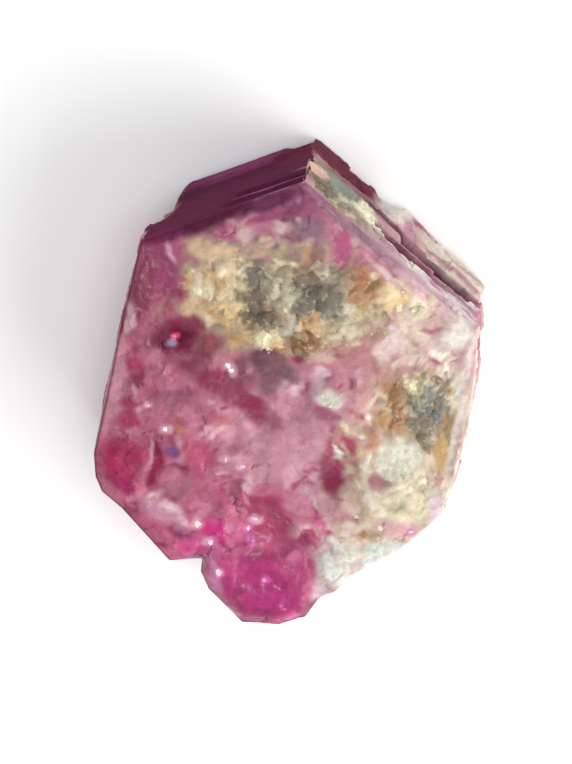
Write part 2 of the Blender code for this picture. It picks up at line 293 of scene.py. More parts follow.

# %% [markdown]
# ## Markings of the front base
#
# The colour of a natural crystal is laid down in zones. Each marking is one of them: a middle and two
# radii on the face, a turn in degrees, its colour, and how clear and how matt it is. A marking's edge is
# bent by noise before it is drawn, so no ellipse shows. One could paint an image by hand instead, but a
# table can be read, moved and corrected line by line.
#
# The order matters: what comes later lies on top. First come wide soft zones, then fields of small random
# flecks, then the markings one by one, at last those along the rim and the painted glows round bright chips.

# %% Markings of the front base
# name, middle, radii, turn, colour out of 255, clearness, mattness
FRONT_MARKS = (
    ("upper_left_corner", (-3.17, 3.62), (0.55, 0.83), 0, (146, 62, 98), 0.25, 0.1),
    ("bright_corner_streak", (-2.79, 4.06), (0.09, 0.34), 8, (208, 150, 176), 0.05, 0.1),
    ("crimson_left_rim", (-3.60, 2.84), (0.23, 0.88), -12, (132, 38, 74), 0.35, 0.0),
    ("left_rim_mauve", (-4.24, 0.46), (0.25, 1.19), -12, (194, 138, 152), 0.05, 0.2),
    ("crimson_under_step", (-1.41, 4.49), (0.40, 0.23), 15, (166, 78, 110), 0.4, 0.0),
    ("magenta_under_step", (-0.07, 5.04), (0.55, 0.23), 20, (148, 66, 108), 0.5, 0.0),
    ("cream_pink_lump", (-0.96, 4.49), (0.23, 0.28), 0, (206, 170, 172), 0.0, 0.6),
    ("rose_lump", (-0.62, 4.73), (0.30, 0.23), 0, (190, 122, 146), 0.1, 0.3),
    ("grey_veil", (0.38, 4.41), (0.40, 0.31), 0, (154, 124, 130), 0.1, 0.4),
    ("crimson_tongue", (1.45, 4.09), (0.25, 0.62), -5, (186, 84, 126), 0.5, 0.0),
    ("rose_by_tongue", (2.03, 3.82), (0.30, 0.31), 0, (204, 132, 150), 0.1, 0.2),
    ("lilac_rim_band", (2.50, 3.85), (1.15, 0.16), -39, (196, 158, 168), 0.1, 0.1),
    ("pink_rim_corner", (4.18, 2.74), (0.40, 0.28), -40, (206, 140, 170), 0.2, 0.1),
    ("white_rim_streak", (4.55, 2.18), (0.18, 0.41), 10, (244, 238, 226), 0.0, 0.8),
    ("dark_window", (-2.65, 1.70), (0.63, 0.54), 0, (108, 26, 58), 0.12, 0.0),
    ("left_crimson_spot", (-3.76, 1.09), (0.20, 0.21), 0, (164, 64, 96), 0.15, 0.0),
    ("window_mid_left", (-1.80, 0.55), (0.40, 0.31), 0, (148, 54, 80), 0.12, 0.0),
    ("window_mid", (-0.95, 0.17), (0.68, 0.36), -40, (146, 62, 86), 0.12, 0.0),
    ("grey_mauve_veil", (-2.83, 0.06), (0.55, 0.28), 5, (160, 92, 116), 0.1, 0.3),
    ("lower_left_spot", (-3.87, -0.45), (0.23, 0.16), 0, (168, 60, 92), 0.15, 0.0),
    ("crimson_corner", (-4.09, -1.57), (0.60, 0.67), 0, (160, 42, 84), 0.15, 0.0),
    ("dark_slit", (-3.22, -1.58), (0.14, 0.65), 3, (116, 32, 62), 0.12, 0.0),
    ("magenta_rose", (-2.16, -1.51), (0.43, 0.47), 0, (190, 80, 120), 0.3, 0.1),
    ("dusty_pink_middle", (-1.23, -1.45), (0.50, 0.52), 0, (180, 114, 136), 0.0, 0.3),
    ("pale_rose_middle", (-0.32, -1.12), (0.65, 0.78), 0, (202, 144, 158), 0.0, 0.3),
    ("coral_spot", (-1.65, -0.47), (0.18, 0.16), 0, (190, 118, 124), 0.05, 0.2),
    ("mauve_centre", (0.59, -0.35), (0.65, 0.57), 0, (192, 136, 152), 0.0, 0.3),
    ("white_scab", (1.16, 0.23), (0.30, 0.23), 0, (216, 212, 198), 0.0, 0.9),
    ("shadow_rose", (1.16, -0.19), (0.30, 0.13), 0, (168, 98, 120), 0.3, 0.0),
    ("slim_crimson", (1.69, -1.06), (0.13, 0.26), 10, (174, 86, 106), 0.1, 0.0),
    ("right_window", (1.17, -1.80), (0.28, 0.44), 20, (156, 58, 88), 0.12, 0.0),
    ("lower_window", (-0.35, -2.87), (0.70, 0.62), -20, (182, 42, 98), 0.5, 0.0),
    ("pink_veil_low", (0.39, -2.65), (0.33, 0.44), 0, (196, 132, 152), 0.0, 0.3),
    ("hot_magenta", (-1.81, -3.34), (0.38, 0.26), 0, (226, 30, 140), 0.6, 0.0),
    ("magenta_bar", (-0.68, -4.03), (0.50, 0.23), 0, (158, 18, 92), 0.35, 0.0),
    ("lobe_upper", (-0.73, -4.74), (1.15, 0.62), 0, (192, 26, 120), 0.5, 0.0),
    ("lobe_tip", (-0.42, -5.45), (0.80, 0.29), 8, (158, 14, 98), 0.5, 0.0),
    ("lilac_lobe_edge", (-1.82, -4.55), (0.15, 0.47), 20, (208, 122, 172), 0.3, 0.1),
    ("lower_left_crimson", (-2.70, -3.41), (0.38, 0.16), -38, (140, 56, 98), 0.2, 0.0),
    ("lower_left_pink", (-2.30, -3.85), (0.40, 0.22), 0, (206, 60, 136), 0.4, 0.0),
    ("milky_veil", (-2.97, -2.94), (0.60, 0.26), -38, (204, 146, 168), 0.0, 0.4),
    ("pink_white_band", (2.63, 1.67), (0.43, 0.39), 0, (236, 210, 206), 0.0, 0.7),
    ("rose_band", (3.83, 2.17), (0.65, 0.23), -30, (214, 184, 176), 0.0, 0.3),
    ("white_shoulder", (4.03, 1.66), (0.35, 0.21), 0, (206, 186, 184), 0.0, 0.8),
    ("lilac_right_edge", (4.66, 1.41), (0.15, 0.57), 0, (204, 170, 178), 0.2, 0.1),
    ("cream_right_edge", (4.42, 0.48), (0.15, 0.47), 0, (218, 208, 188), 0.0, 0.9),
    ("bleached_heart", (2.90, -1.31), (0.60, 0.49), 0, (224, 224, 206), 0.0, 1.0),
    ("ochre_stain", (4.03, -1.26), (0.28, 0.47), 0, (208, 172, 122), 0.0, 1.0),
    ("dusty_notch", (2.30, -1.89), (0.23, 0.21), 0, (184, 126, 134), 0.05, 0.3),
    ("dark_notch", (2.50, -1.91), (0.10, 0.10), 0, (144, 112, 116), 0.05, 0.2),
    ("bleached_lower", (3.11, -2.45), (0.85, 0.57), 0, (226, 216, 188), 0.0, 1.0),
    ("pink_grain_bed", (1.34, -2.69), (0.40, 0.41), 0, (188, 140, 146), 0.0, 0.6),
    ("pink_tan_pane", (2.96, -3.24), (0.53, 0.34), -20, (220, 186, 180), 0.0, 0.5),
    ("olive_stain", (2.85, -2.51), (0.23, 0.16), 0, (190, 184, 150), 0.0, 1.0),
    ("tan_stain", (2.30, -3.38), (0.25, 0.23), 0, (196, 166, 140), 0.0, 1.0),
    ("cream_clot", (1.72, -3.57), (0.35, 0.21), 10, (236, 220, 200), 0.0, 1.0),
    ("mint_edge", (2.51, -4.03), (0.60, 0.23), -30, (216, 230, 216), 0.0, 0.9),
    ("white_lower_edge", (1.25, -4.26), (0.48, 0.52), -20, (228, 228, 220), 0.0, 1.0),
    ("pale_lilac_foot", (0.89, -4.90), (0.23, 0.31), -30, (206, 174, 188), 0.1, 0.6),
    ("lilac_knob", (3.84, -2.60), (0.20, 0.34), 0, (232, 208, 216), 0.1, 0.2),
    ("left_rim_pale", (-3.93, 2.17), (0.15, 0.41), -12, (192, 154, 164), 0.05, 0.3),
    ("left_spot_two", (-3.92, 0.00), (0.20, 0.16), 0, (166, 68, 98), 0.15, 0.0),
    ("window_right", (-1.87, 1.53), (0.38, 0.31), 0, (146, 82, 90), 0.05, 0.1),
    ("window_foot", (-0.57, -0.42), (0.28, 0.26), -45, (152, 70, 92), 0.1, 0.0),
    ("mauve_arc", (-2.78, 0.27), (0.50, 0.10), 0, (150, 88, 110), 0.05, 0.1),
    ("magenta_corner", (-4.06, -2.15), (0.38, 0.23), -30, (158, 44, 92), 0.15, 0.0),
    ("slit_veil", (-3.40, -1.30), (0.06, 0.41), -8, (190, 134, 148), 0.05, 0.2),
    ("rose_patch", (-2.31, -1.20), (0.30, 0.31), 0, (184, 92, 116), 0.1, 0.1),
    ("white_rose_arc", (-1.73, -0.80), (0.25, 0.10), 25, (220, 170, 182), 0.0, 0.4),
    ("left_low_rose", (-2.77, -2.18), (0.45, 0.34), 0, (206, 134, 152), 0.0, 0.2),
    ("milky_white", (-3.23, -2.52), (0.13, 0.18), -20, (222, 180, 190), 0.0, 0.5),
    ("rose_veil", (-2.14, -2.74), (0.40, 0.23), 0, (204, 124, 152), 0.05, 0.2),
    ("under_crust_shadow", (-0.44, 1.21), (0.45, 0.26), -8, (116, 78, 86), 0.05, 0.2),
    ("wine_under_crust", (-0.67, 0.67), (0.40, 0.21), 0, (146, 86, 98), 0.08, 0.1),
    ("tan_under_crust", (0.98, 1.26), (0.28, 0.16), 0, (200, 170, 158), 0.0, 0.6),
    ("honey_clot", (2.80, 2.85), (0.33, 0.39), 0, (250, 222, 174), 0.0, 1.0),
    ("cream_clot_right", (3.40, 2.55), (0.30, 0.31), 0, (242, 234, 208), 0.0, 1.0),
    ("cream_shoulder", (3.18, 2.06), (0.50, 0.26), -30, (232, 212, 194), 0.0, 0.7),
    ("white_streak", (2.63, 1.75), (0.10, 0.31), 0, (238, 214, 208), 0.0, 0.7),
    ("rust_rim", (2.19, -0.90), (0.15, 0.21), 0, (196, 150, 118), 0.0, 0.8),
    ("lobe_core", (-0.37, -5.08), (0.60, 0.41), 0, (186, 28, 122), 0.5, 0.0),
    ("lobe_veil_left", (-1.39, -4.36), (0.20, 0.36), 10, (184, 58, 122), 0.25, 0.1),
    ("lobe_veil_right", (0.46, -4.54), (0.28, 0.44), -10, (176, 56, 114), 0.3, 0.1),
    ("dusty_streak", (-1.23, -3.57), (0.20, 0.52), 0, (196, 104, 140), 0.1, 0.1),
    ("stain_top_left", (-1.96, 4.07), (0.43, 0.31), -20, (202, 178, 148), 0.0, 0.8),
    ("stain_top", (-1.49, 3.87), (0.38, 0.23), 0, (214, 186, 154), 0.0, 0.8),
    ("window_upper_right", (-2.32, 2.11), (0.25, 0.23), 0, (128, 58, 78), 0.08, 0.0),
    ("rose_right_edge", (4.44, 1.41), (0.20, 0.39), 0, (206, 170, 176), 0.0, 0.4),
    ("mid_rose", (-1.95, -0.24), (0.30, 0.23), 0, (166, 90, 110), 0.05, 0.1),
    ("grey_smudge", (0.13, 0.75), (0.35, 0.21), -8, (150, 114, 118), 0.05, 0.3),
    ("wine_smudge", (-1.10, 0.97), (0.30, 0.21), 0, (148, 94, 104), 0.05, 0.2),
    ("tan_pink_low", (2.21, 1.82), (0.40, 0.23), 0, (184, 148, 130), 0.0, 0.7),
    ("crimson_low_right", (1.27, -2.27), (0.20, 0.23), 0, (164, 98, 114), 0.0, 0.3),
    ("pale_side_low", (4.50, -0.14), (0.13, 0.26), 0, (204, 194, 180), 0.0, 0.8),
    ("rose_by_clot", (2.85, 3.47), (0.30, 0.21), -35, (178, 124, 134), 0.05, 0.2),
    ("tan_grain_low", (1.67, -3.13), (0.30, 0.21), 0, (216, 192, 176), 0.0, 0.8),
    ("tan_grain_mid", (1.70, -2.32), (0.23, 0.21), 0, (206, 176, 164), 0.0, 0.8),
    ("rust_low", (2.00, -3.36), (0.18, 0.13), 0, (176, 134, 104), 0.0, 0.9),
    ("rose_pane_low", (2.71, -3.09), (0.38, 0.23), -20, (208, 164, 166), 0.0, 0.4),
    ("rose_low_two", (1.82, -2.94), (0.13, 0.21), 0, (180, 112, 126), 0.0, 0.4),
    ("white_low", (1.35, -3.53), (0.18, 0.18), 0, (236, 230, 222), 0.0, 0.9),
    ("white_low_two", (1.70, -3.84), (0.23, 0.18), 0, (232, 232, 222), 0.0, 0.9),
    ("rose_row", (0.06, 1.35), (0.25, 0.13), 0, (178, 146, 124), 0.0, 0.6),
    ("tan_side_front", (4.22, -0.61), (0.20, 0.39), 0, (172, 148, 116), 0.0, 0.9),
    ("pink_gap", (-0.49, 3.71), (0.15, 0.16), 0, (184, 134, 144), 0.0, 0.4),
    ("wine_bridge", (-1.27, 0.45), (0.28, 0.36), 0, (148, 74, 96), 0.1, 0.0),
    ("grain_gap", (-1.13, -1.47), (0.20, 0.13), 30, (214, 160, 176), 0.0, 0.3),
    ("mid_left_veil", (-1.53, -0.96), (0.18, 0.31), -10, (204, 146, 164), 0.0, 0.3),
    ("mid_streak", (-0.67, -0.94), (0.15, 0.41), 12, (212, 156, 168), 0.0, 0.3),
    ("mid_streak_two", (0.18, -1.71), (0.18, 0.36), -15, (210, 158, 170), 0.0, 0.3),
    ("mid_mauve", (-0.22, -0.52), (0.23, 0.31), 20, (178, 112, 132), 0.0, 0.2),
    ("pink_by_rust", (2.04, 0.13), (0.18, 0.36), -20, (218, 170, 168), 0.0, 0.4),
    ("cream_link", (2.16, 0.19), (0.08, 0.31), -25, (232, 206, 186), 0.0, 0.6),
    ("under_crust_smudge", (-0.22, 0.93), (0.43, 0.26), -35, (124, 88, 98), 0.03, 0.2),
    ("edge_vein", (3.78, 1.99), (0.30, 0.06), -5, (194, 134, 154), 0.0, 0.2),
    ("edge_vein_mid", (4.31, 1.82), (0.30, 0.07), -28, (190, 128, 150), 0.0, 0.2),
    ("edge_vein_end", (4.66, 1.49), (0.23, 0.07), -55, (190, 128, 150), 0.0, 0.2),
    ("right_window_low", (1.19, -2.12), (0.28, 0.23), 0, (146, 58, 84), 0.1, 0.0),
    ("milky_fleck", (-2.95, -2.81), (0.20, 0.13), -30, (226, 186, 196), 0.0, 0.5),
    ("milky_fleck_low", (-2.65, -3.12), (0.18, 0.10), -40, (220, 176, 190), 0.0, 0.4),
    ("edge_pale", (3.24, 1.32), (0.33, 0.23), -10, (224, 202, 190), 0.0, 0.5),
    ("mauve_wash", (0.16, 4.23), (0.33, 0.18), 5, (156, 108, 122), 0.05, 0.2),
    ("lilac_wash", (0.56, 4.51), (0.33, 0.21), 0, (148, 116, 132), 0.0, 0.3),
    ("brown_wash", (0.88, 3.88), (0.20, 0.16), 0, (150, 112, 106), 0.0, 0.4),
    ("tan_link", (2.04, -0.67), (0.20, 0.23), 0, (188, 146, 130), 0.0, 0.5),
    ("cream_foot", (3.65, -1.50), (0.20, 0.23), 0, (230, 216, 186), 0.0, 0.8),
    ("slot_dark", (-3.25, -1.87), (0.10, 0.39), -4, (140, 38, 74), 0.2, 0.0),
    ("low_edge_white", (2.41, -3.96), (0.65, 0.21), 28, (220, 226, 220), 0.0, 0.8),
    ("low_pale", (1.67, -2.45), (0.23, 0.23), 0, (214, 182, 172), 0.0, 0.6),
    ("low_pale_two", (1.70, -3.18), (0.23, 0.23), 0, (222, 200, 188), 0.0, 0.7),
    ("pocket_side", (-3.18, 1.25), (0.18, 0.21), 10, (188, 122, 134), 0.05, 0.1),
    ("left_pale", (-3.95, 2.17), (0.13, 0.26), -8, (204, 166, 172), 0.0, 0.2),
    ("pale_between", (-0.34, 0.49), (0.20, 0.26), -30, (150, 104, 112), 0.0, 0.2),
    # Painted glints: the next three marks lay small highlights and reflections into the colour
    ("blue_grey_glint", (-2.78, 1.51), (0.11, 0.11), 0, (140, 112, 146), 0.3, 0.0),
    ("hot_spark", (-2.65, 1.70), (0.11, 0.11), 0, (232, 62, 118), 0.4, 0.0),
    ("violet_glint", (-2.87, -1.37), (0.18, 0.21), 0, (124, 80, 126), 0.1, 0.0),
    ("rust_spot", (-2.59, -0.73), (0.15, 0.13), 0, (178, 118, 102), 0.0, 0.3),
)

# Tiny clear chips that catch the light. Their facets and gloss give real glints, and their near-white colours
# add a painted highlight
CHIPS = (
    # name, place on the front base, size, colour
    ("by_the_row", (0.33, 2.10), 0.08, (240, 244, 238)),
    ("mid_left", (-1.41, 1.00), 0.07, (250, 244, 246)),
    ("mid_left_low", (-1.33, 0.86), 0.06, (230, 200, 214)),
    ("over_slit", (-3.00, -0.68), 0.07, (246, 226, 240)),
    ("rose_one", (-1.48, -1.43), 0.06, (240, 196, 210)),
    ("rose_two", (-1.05, -1.62), 0.06, (236, 196, 214)),
    ("left_streak", (-3.40, -0.02), 0.05, (232, 196, 206)),
    ("hot_one", (-2.20, -3.15), 0.085, (252, 214, 216)),
    ("hot_two", (-1.88, -3.62), 0.08, (252, 176, 226)),
    ("lobe_edge", (-1.66, -4.40), 0.075, (236, 190, 236)),
    ("lobe_spark", (-0.50, -4.60), 0.075, (255, 110, 176)),
    ("low_lilac", (-0.75, -3.05), 0.09, (222, 176, 226)),
    ("low_pink", (-0.92, -3.30), 0.07, (226, 134, 180)),
    ("low_pink_two", (-0.80, -3.60), 0.06, (222, 130, 176)),
    ("right_pane", (3.20, -3.25), 0.07, (236, 190, 204)),
)
# Each sits in a painted glow of light, a pale halo a little wider than the chip and never greener than 172
PAINTED_CHIP_GLOWS = [
    (name, place, (1.9 * size, 1.6 * size), 0, (226, min(colour[1], 172), 192), 0.0, 0.3)
    for name, place, size, colour in CHIPS
]

# The two ground colours of the front base with their clearness and mattness, and its wide zones as name,
# middle, radii, turn, colour, clearness, mattness
FRONT_GROUND, FRONT_FINISH = ((184, 112, 134), (160, 82, 110)), (0.12, 0.10)
FRONT_ZONES = (
    ("left_field", (-3.40, 0.90), (1.30, 3.00), 8, (176, 102, 124), 0.12, 0.05),
    ("upper_left_field", (-3.00, 3.40), (1.10, 1.10), 0, (150, 70, 106), 0.15, 0.05),
    ("upper_field", (-0.30, 4.40), (2.00, 0.80), 18, (160, 92, 122), 0.2, 0.1),
    ("central_cloud", (0.40, -0.80), (2.10, 1.90), 0, (200, 144, 158), 0.0, 0.3),
    ("lower_left_field", (-3.00, -2.40), (1.50, 0.90), -40, (184, 98, 126), 0.2, 0.1),
    ("low_magenta", (-0.90, -3.50), (1.80, 1.20), 0, (178, 66, 114), 0.25, 0.0),
    ("upper_right_band", (3.20, 2.50), (1.90, 0.90), -41, (218, 180, 182), 0.0, 0.35),
    ("right_bleach", (2.90, -2.20), (1.60, 2.10), -32, (222, 210, 194), 0.0, 0.8),
    ("right_edge_bleach", (4.25, 0.80), (0.60, 1.90), 0, (216, 194, 186), 0.0, 0.6),
    ("upper_rock_halo", (0.30, 2.75), (2.80, 1.25), -4, (188, 142, 134), 0.0, 0.5),
    ("right_rock_halo", (3.20, -0.10), (1.20, 1.40), 0, (206, 170, 150), 0.0, 0.6),
    ("mottle_top_left", (-0.87, 3.78), (0.30, 0.21), 10, (178, 160, 142), 0.0, 0.7),
    ("mottle_top", (-0.09, 3.92), (0.35, 0.23), 0, (158, 136, 130), 0.0, 0.6),
    ("mottle_top_right", (0.66, 4.03), (0.30, 0.23), 0, (150, 114, 114), 0.0, 0.5),
    ("grey_gap", (1.08, 3.93), (0.18, 0.23), 0, (156, 144, 134), 0.0, 0.6),
    ("mottle_grey", (-0.37, 3.79), (0.33, 0.16), -10, (150, 136, 124), 0.0, 0.7),
    ("mottle_mauve", (0.08, 4.15), (0.30, 0.26), 0, (156, 108, 120), 0.05, 0.3),
    ("mottle_lilac", (0.53, 4.46), (0.43, 0.34), 0, (146, 114, 128), 0.0, 0.35),
    ("mottle_brown", (0.86, 3.88), (0.28, 0.18), 0, (146, 108, 100), 0.0, 0.4),
)

# Along the rim. face: name, place along it and inward, half sizes, colour, clearness, mattness
RIM_MARKS = {
    "top_left": (
        ("corner_wine", (0.50, 0.02), (0.60, 0.16), (116, 42, 78), 0.05, 0.0),
        ("wine_overlap", (1.90, 0.02), (1.25, 0.28), (92, 34, 62), 0.05, 0.0),
        ("magenta_step", (3.20, 0.46), (0.60, 0.12), (154, 78, 110), 0.1, 0.0),
        ("purple_step", (3.45, 0.14), (0.80, 0.18), (100, 48, 76), 0.05, 0.0),
    ),
    "top_right": (
        ("grey_lilac", (1.70, 0.06), (1.60, 0.10), (156, 122, 136), 0.05, 0.2),
        ("lilac", (3.30, 0.05), (0.80, 0.08), (180, 136, 154), 0.05, 0.3),
        ("rose", (4.20, 0.10), (0.90, 0.16), (230, 192, 196), 0.05, 0.3),
        ("pale_line", (3.10, 0.36), (0.70, 0.08), (222, 190, 190), 0.0, 0.4),
        ("white_corner", (5.40, 0.35), (0.32, 0.36), (244, 238, 228), 0.0, 0.7),
    ),
    "right": (
        ("pale_edge", (2.00, 0.03), (2.40, 0.10), (228, 214, 204), 0.0, 0.6),
    ),
}

# Fields of small flecks: name, middle and radii of the field, how many, size,
# colours, clearness, mattness
FLECK_FIELDS = (
    ("left", (-3.20, 0.30), (1.40, 4.00), 90, 0.17,
     ((140, 44, 76), (160, 64, 96), (176, 92, 116)), 0.3, 0.0),
    ("left_veils", (-2.80, 0.20), (1.50, 3.60), 50, 0.12,
     ((204, 150, 168), (184, 118, 142)), 0.05, 0.2),
    ("centre", (0.20, -1.50), (2.40, 2.90), 80, 0.15,
     ((152, 66, 92), (172, 90, 112), (180, 104, 126)), 0.2, 0.0),
    ("centre_veils", (0.30, -0.90), (2.30, 2.40), 110, 0.15,
     ((212, 164, 176), (198, 142, 156), (222, 188, 192)), 0.0, 0.3),
    ("low", (-1.00, -3.40), (2.00, 1.20), 80, 0.15,
     ((190, 40, 112), (208, 92, 142), (150, 34, 86)), 0.4, 0.0),
    ("lobe", (-0.50, -4.90), (1.20, 0.90), 36, 0.13,
     ((234, 84, 160), (170, 20, 96), (212, 44, 134)), 0.5, 0.0),
    ("upper", (-0.40, 4.30), (2.60, 1.10), 90, 0.15,
     ((148, 66, 104), (186, 130, 150), (208, 178, 172), (112, 58, 92)), 0.15, 0.2),
    ("upper_grains", (-0.70, 3.90), (1.50, 0.42), 44, 0.12,
     ((224, 204, 174), (148, 136, 122), (190, 160, 146)), 0.0, 0.8),
    ("rim", (3.20, 2.30), (1.90, 1.40), 110, 0.14,
     ((240, 216, 204), (202, 146, 160), (176, 104, 130), (230, 200, 178)), 0.05, 0.4),
    ("bleached", (2.90, -2.00), (1.60, 2.30), 150, 0.14,
     ((246, 244, 228), (204, 176, 150), (190, 140, 138), (232, 216, 190)), 0.0, 0.9),
    ("edge", (4.20, 0.40), (0.50, 2.20), 50, 0.12,
     ((246, 240, 226), (206, 168, 176), (228, 210, 196)), 0.0, 0.7),
)
print("front markings:", len(FRONT_MARKS), "zones:", len(FRONT_ZONES), "fields of flecks:", len(FLECK_FIELDS))

# %% [markdown]
# ## Markings of the side faces
#
# On a side face a marking's middle is a place along the face and a depth below the front base, so the
# growth bands run level round the crystal. Each face also has two ground colours that mix in level bands,
# and one field of flecks. The back base, on which the crystal rests, gets colours of the same kinds.

# %% Markings of the sides and the back
# face: first ground colour, second, clearness, mattness
SIDE_GROUND = {
    "top_right": ((186, 138, 152), (212, 176, 180), 0.08, 0.2),
    "right": ((196, 140, 158), (226, 208, 196), 0.15, 0.5),
    "lower_right": ((222, 206, 190), (196, 142, 154), 0.1, 0.6),
    # the lobe's dark ground is partly its deep magenta and partly painted shade, going on from the painted
    # rim shade above it
    "lobe": ((150, 28, 98), (124, 18, 74), 0.6, 0.0),
    "lower_left": ((158, 52, 96), (186, 98, 128), 0.5, 0.1),
    "left": ((156, 58, 94), (184, 112, 134), 0.4, 0.1),
    "top_left": ((88, 30, 58), (102, 34, 66), 0.05, 0.0),
}
# face: name, place along and depth, half sizes, colour, clearness, mattness
SIDE_MARKS = {
    "top_right": (
        ("rim_lilac", (3.40, 0.45), (2.60, 0.35), (198, 164, 176), 0.05, 0.2),
        ("rim_pale", (3.75, 1.00), (0.85, 0.50), (246, 240, 228), 0.0, 0.8),
        ("rim_pink", (4.30, 1.00), (0.50, 0.22), (208, 154, 176), 0.05, 0.1),
        ("pale_end", (5.10, 0.85), (0.60, 0.60), (236, 222, 216), 0.0, 0.7),
        ("rose_streak", (5.00, 0.62), (0.40, 0.07), (196, 140, 160), 0.05, 0.1),
        ("rose_streak_low", (5.20, 1.12), (0.34, 0.07), (190, 134, 152), 0.05, 0.1),
        ("crust_bed", (1.00, 2.00), (1.40, 1.45), (150, 138, 118), 0.0, 0.8),
        ("brown_bed", (0.60, 1.25), (0.50, 0.40), (128, 110, 94), 0.0, 0.8),
        ("grey_green_bed", (0.95, 2.60), (0.60, 0.50), (152, 156, 144), 0.0, 0.8),
        ("peach_ledge", (0.26, 2.20), (0.34, 0.40), (240, 198, 184), 0.0, 0.6),
        ("bright_cream", (1.78, 2.30), (0.36, 0.60), (250, 246, 216), 0.0, 0.9),
        ("cream_ridge", (2.40, 1.45), (0.85, 0.30), (246, 238, 216), 0.0, 0.9),
        ("white_line", (3.90, 1.42), (1.20, 0.12), (232, 214, 210), 0.0, 0.4),
        ("thin_groove", (3.25, 2.12), (1.15, 0.20), (106, 60, 78), 0.1, 0.0),
        ("pink_panel", (2.95, 2.62), (0.90, 0.20), (204, 160, 172), 0.05, 0.0),
        ("upper_groove", (2.75, 3.10), (1.10, 0.20), (110, 64, 80), 0.1, 0.0),
        ("outer_pink", (3.40, 3.80), (1.00, 0.40), (200, 150, 160), 0.05, 0.1),
        ("cream_outer_near", (2.35, 4.25), (0.66, 0.85), (255, 250, 236), 0.0, 0.9),
        ("crimson_outer", (3.45, 4.50), (0.36, 0.30), (186, 112, 134), 0.1, 0.0),
        ("cream_outer", (4.65, 4.00), (1.15, 0.80), (240, 230, 212), 0.0, 0.9),
        ("main_groove", (4.45, 2.98), (1.45, 0.31), (122, 68, 86), 0.05, 0.0),
        ("groove_fibre", (4.20, 2.96), (0.95, 0.05), (156, 108, 120), 0.05, 0.0),
        ("groove_fibre_low", (4.70, 3.22), (0.85, 0.05), (84, 40, 56), 0.05, 0.0),
        ("groove_fibre_end", (5.10, 3.02), (0.50, 0.04), (164, 124, 130), 0.05, 0.0),
        ("pink_line", (4.60, 3.62), (1.00, 0.09), (184, 138, 146), 0.05, 0.0),
        ("outer_fibre", (4.10, 3.86), (0.90, 0.05), (168, 126, 132), 0.05, 0.2),
        ("outer_fibre_low", (4.90, 4.02), (0.60, 0.04), (184, 156, 138), 0.0, 0.5),
        ("rose_line", (4.90, 4.30), (0.70, 0.07), (196, 150, 152), 0.05, 0.0),
        ("brown_line", (4.70, 4.78), (0.50, 0.10), (176, 140, 116), 0.0, 0.5),
        ("apex_slab", (0.90, 4.15), (1.45, 1.00), (118, 54, 72), 0.05, 0.0),
        ("white_end", (5.45, 2.10), (0.26, 0.30), (244, 236, 232), 0.0, 0.5),
    ),
    "top_left": (
        ("light_strip", (2.50, 4.45), (1.60, 0.45), (136, 62, 102), 0.05, 0.0),
        ("corner_facet", (0.42, 3.60), (0.22, 0.90), (176, 104, 122), 0.1, 0.1),
        ("corner_dark", (0.30, 1.20), (0.35, 1.00), (104, 32, 62), 0.05, 0.0),
        ("apex_dark", (4.00, 4.10), (0.60, 0.95), (104, 36, 60), 0.05, 0.0),
        ("mauve_step", (3.45, 1.12), (0.80, 0.13), (140, 78, 110), 0.05, 0.0),
        ("purple_step", (3.50, 0.72), (0.80, 0.14), (86, 36, 72), 0.05, 0.0),
        ("rose_step", (3.85, 0.36), (0.60, 0.12), (158, 110, 128), 0.05, 0.1),
        ("pale_step", (4.15, 2.10), (0.26, 0.10), (170, 118, 130), 0.05, 0.3),
    ),
    "right": (
        ("cream_band", (1.60, 0.90), (1.40, 0.50), (234, 226, 206), 0.0, 0.9),
        ("crimson_band", (3.20, 2.40), (1.00, 0.20), (176, 92, 120), 0.3, 0.0),
        ("rose_band", (1.00, 2.20), (1.30, 0.22), (190, 118, 142), 0.2, 0.1),
        ("low_cream", (1.20, 3.60), (0.90, 0.50), (222, 204, 184), 0.0, 0.8),
    ),
    "lower_right": (
        ("white_band", (1.60, 0.70), (1.80, 0.60), (228, 228, 218), 0.0, 1.0),
        ("crimson_window", (3.00, 2.50), (0.80, 0.26), (164, 70, 104), 0.5, 0.0),
        ("rose_line", (1.40, 1.90), (1.20, 0.12), (186, 116, 138), 0.2, 0.1),
        ("tan_stain", (0.80, 3.30), (0.80, 0.24), (204, 178, 150), 0.0, 1.0),
    ),
    "left": (
        ("crimson_corner", (0.70, 1.20), (0.90, 1.30), (160, 44, 90), 0.7, 0.0),
        ("pale_band", (3.40, 2.90), (1.60, 0.40), (204, 146, 160), 0.0, 0.3),
        ("low_window", (2.20, 3.90), (0.80, 0.50), (140, 40, 78), 0.7, 0.0),
    ),
    "lower_left": (
        ("pink_band", (1.50, 2.60), (1.10, 0.50), (196, 110, 140), 0.2, 0.1),
    ),
}

# Flecks of the side faces: their colours, then clearness, mattness
SIDE_FLECK_LOOKS = {
    "right": (
        ((244, 236, 222), (206, 158, 168), (182, 108, 134), (222, 196, 176), (190, 136, 152)), 0.1, 0.5,
    ),
    "lower_right": (
        ((240, 236, 226), (210, 176, 172), (172, 84, 116), (206, 182, 156), (234, 214, 206)), 0.05, 0.7,
    ),
    "lobe": (((196, 50, 132), (128, 14, 76), (164, 30, 106)), 0.5, 0.0),
    "lower_left": (((134, 38, 74), (190, 104, 134), (170, 70, 108), (208, 150, 168)), 0.3, 0.1),
    "left": (((134, 40, 72), (196, 128, 148), (168, 74, 104), (212, 166, 176)), 0.25, 0.1),
    "top_right": (((232, 216, 206), (200, 150, 164), (170, 104, 126)), 0.05, 0.3),
}

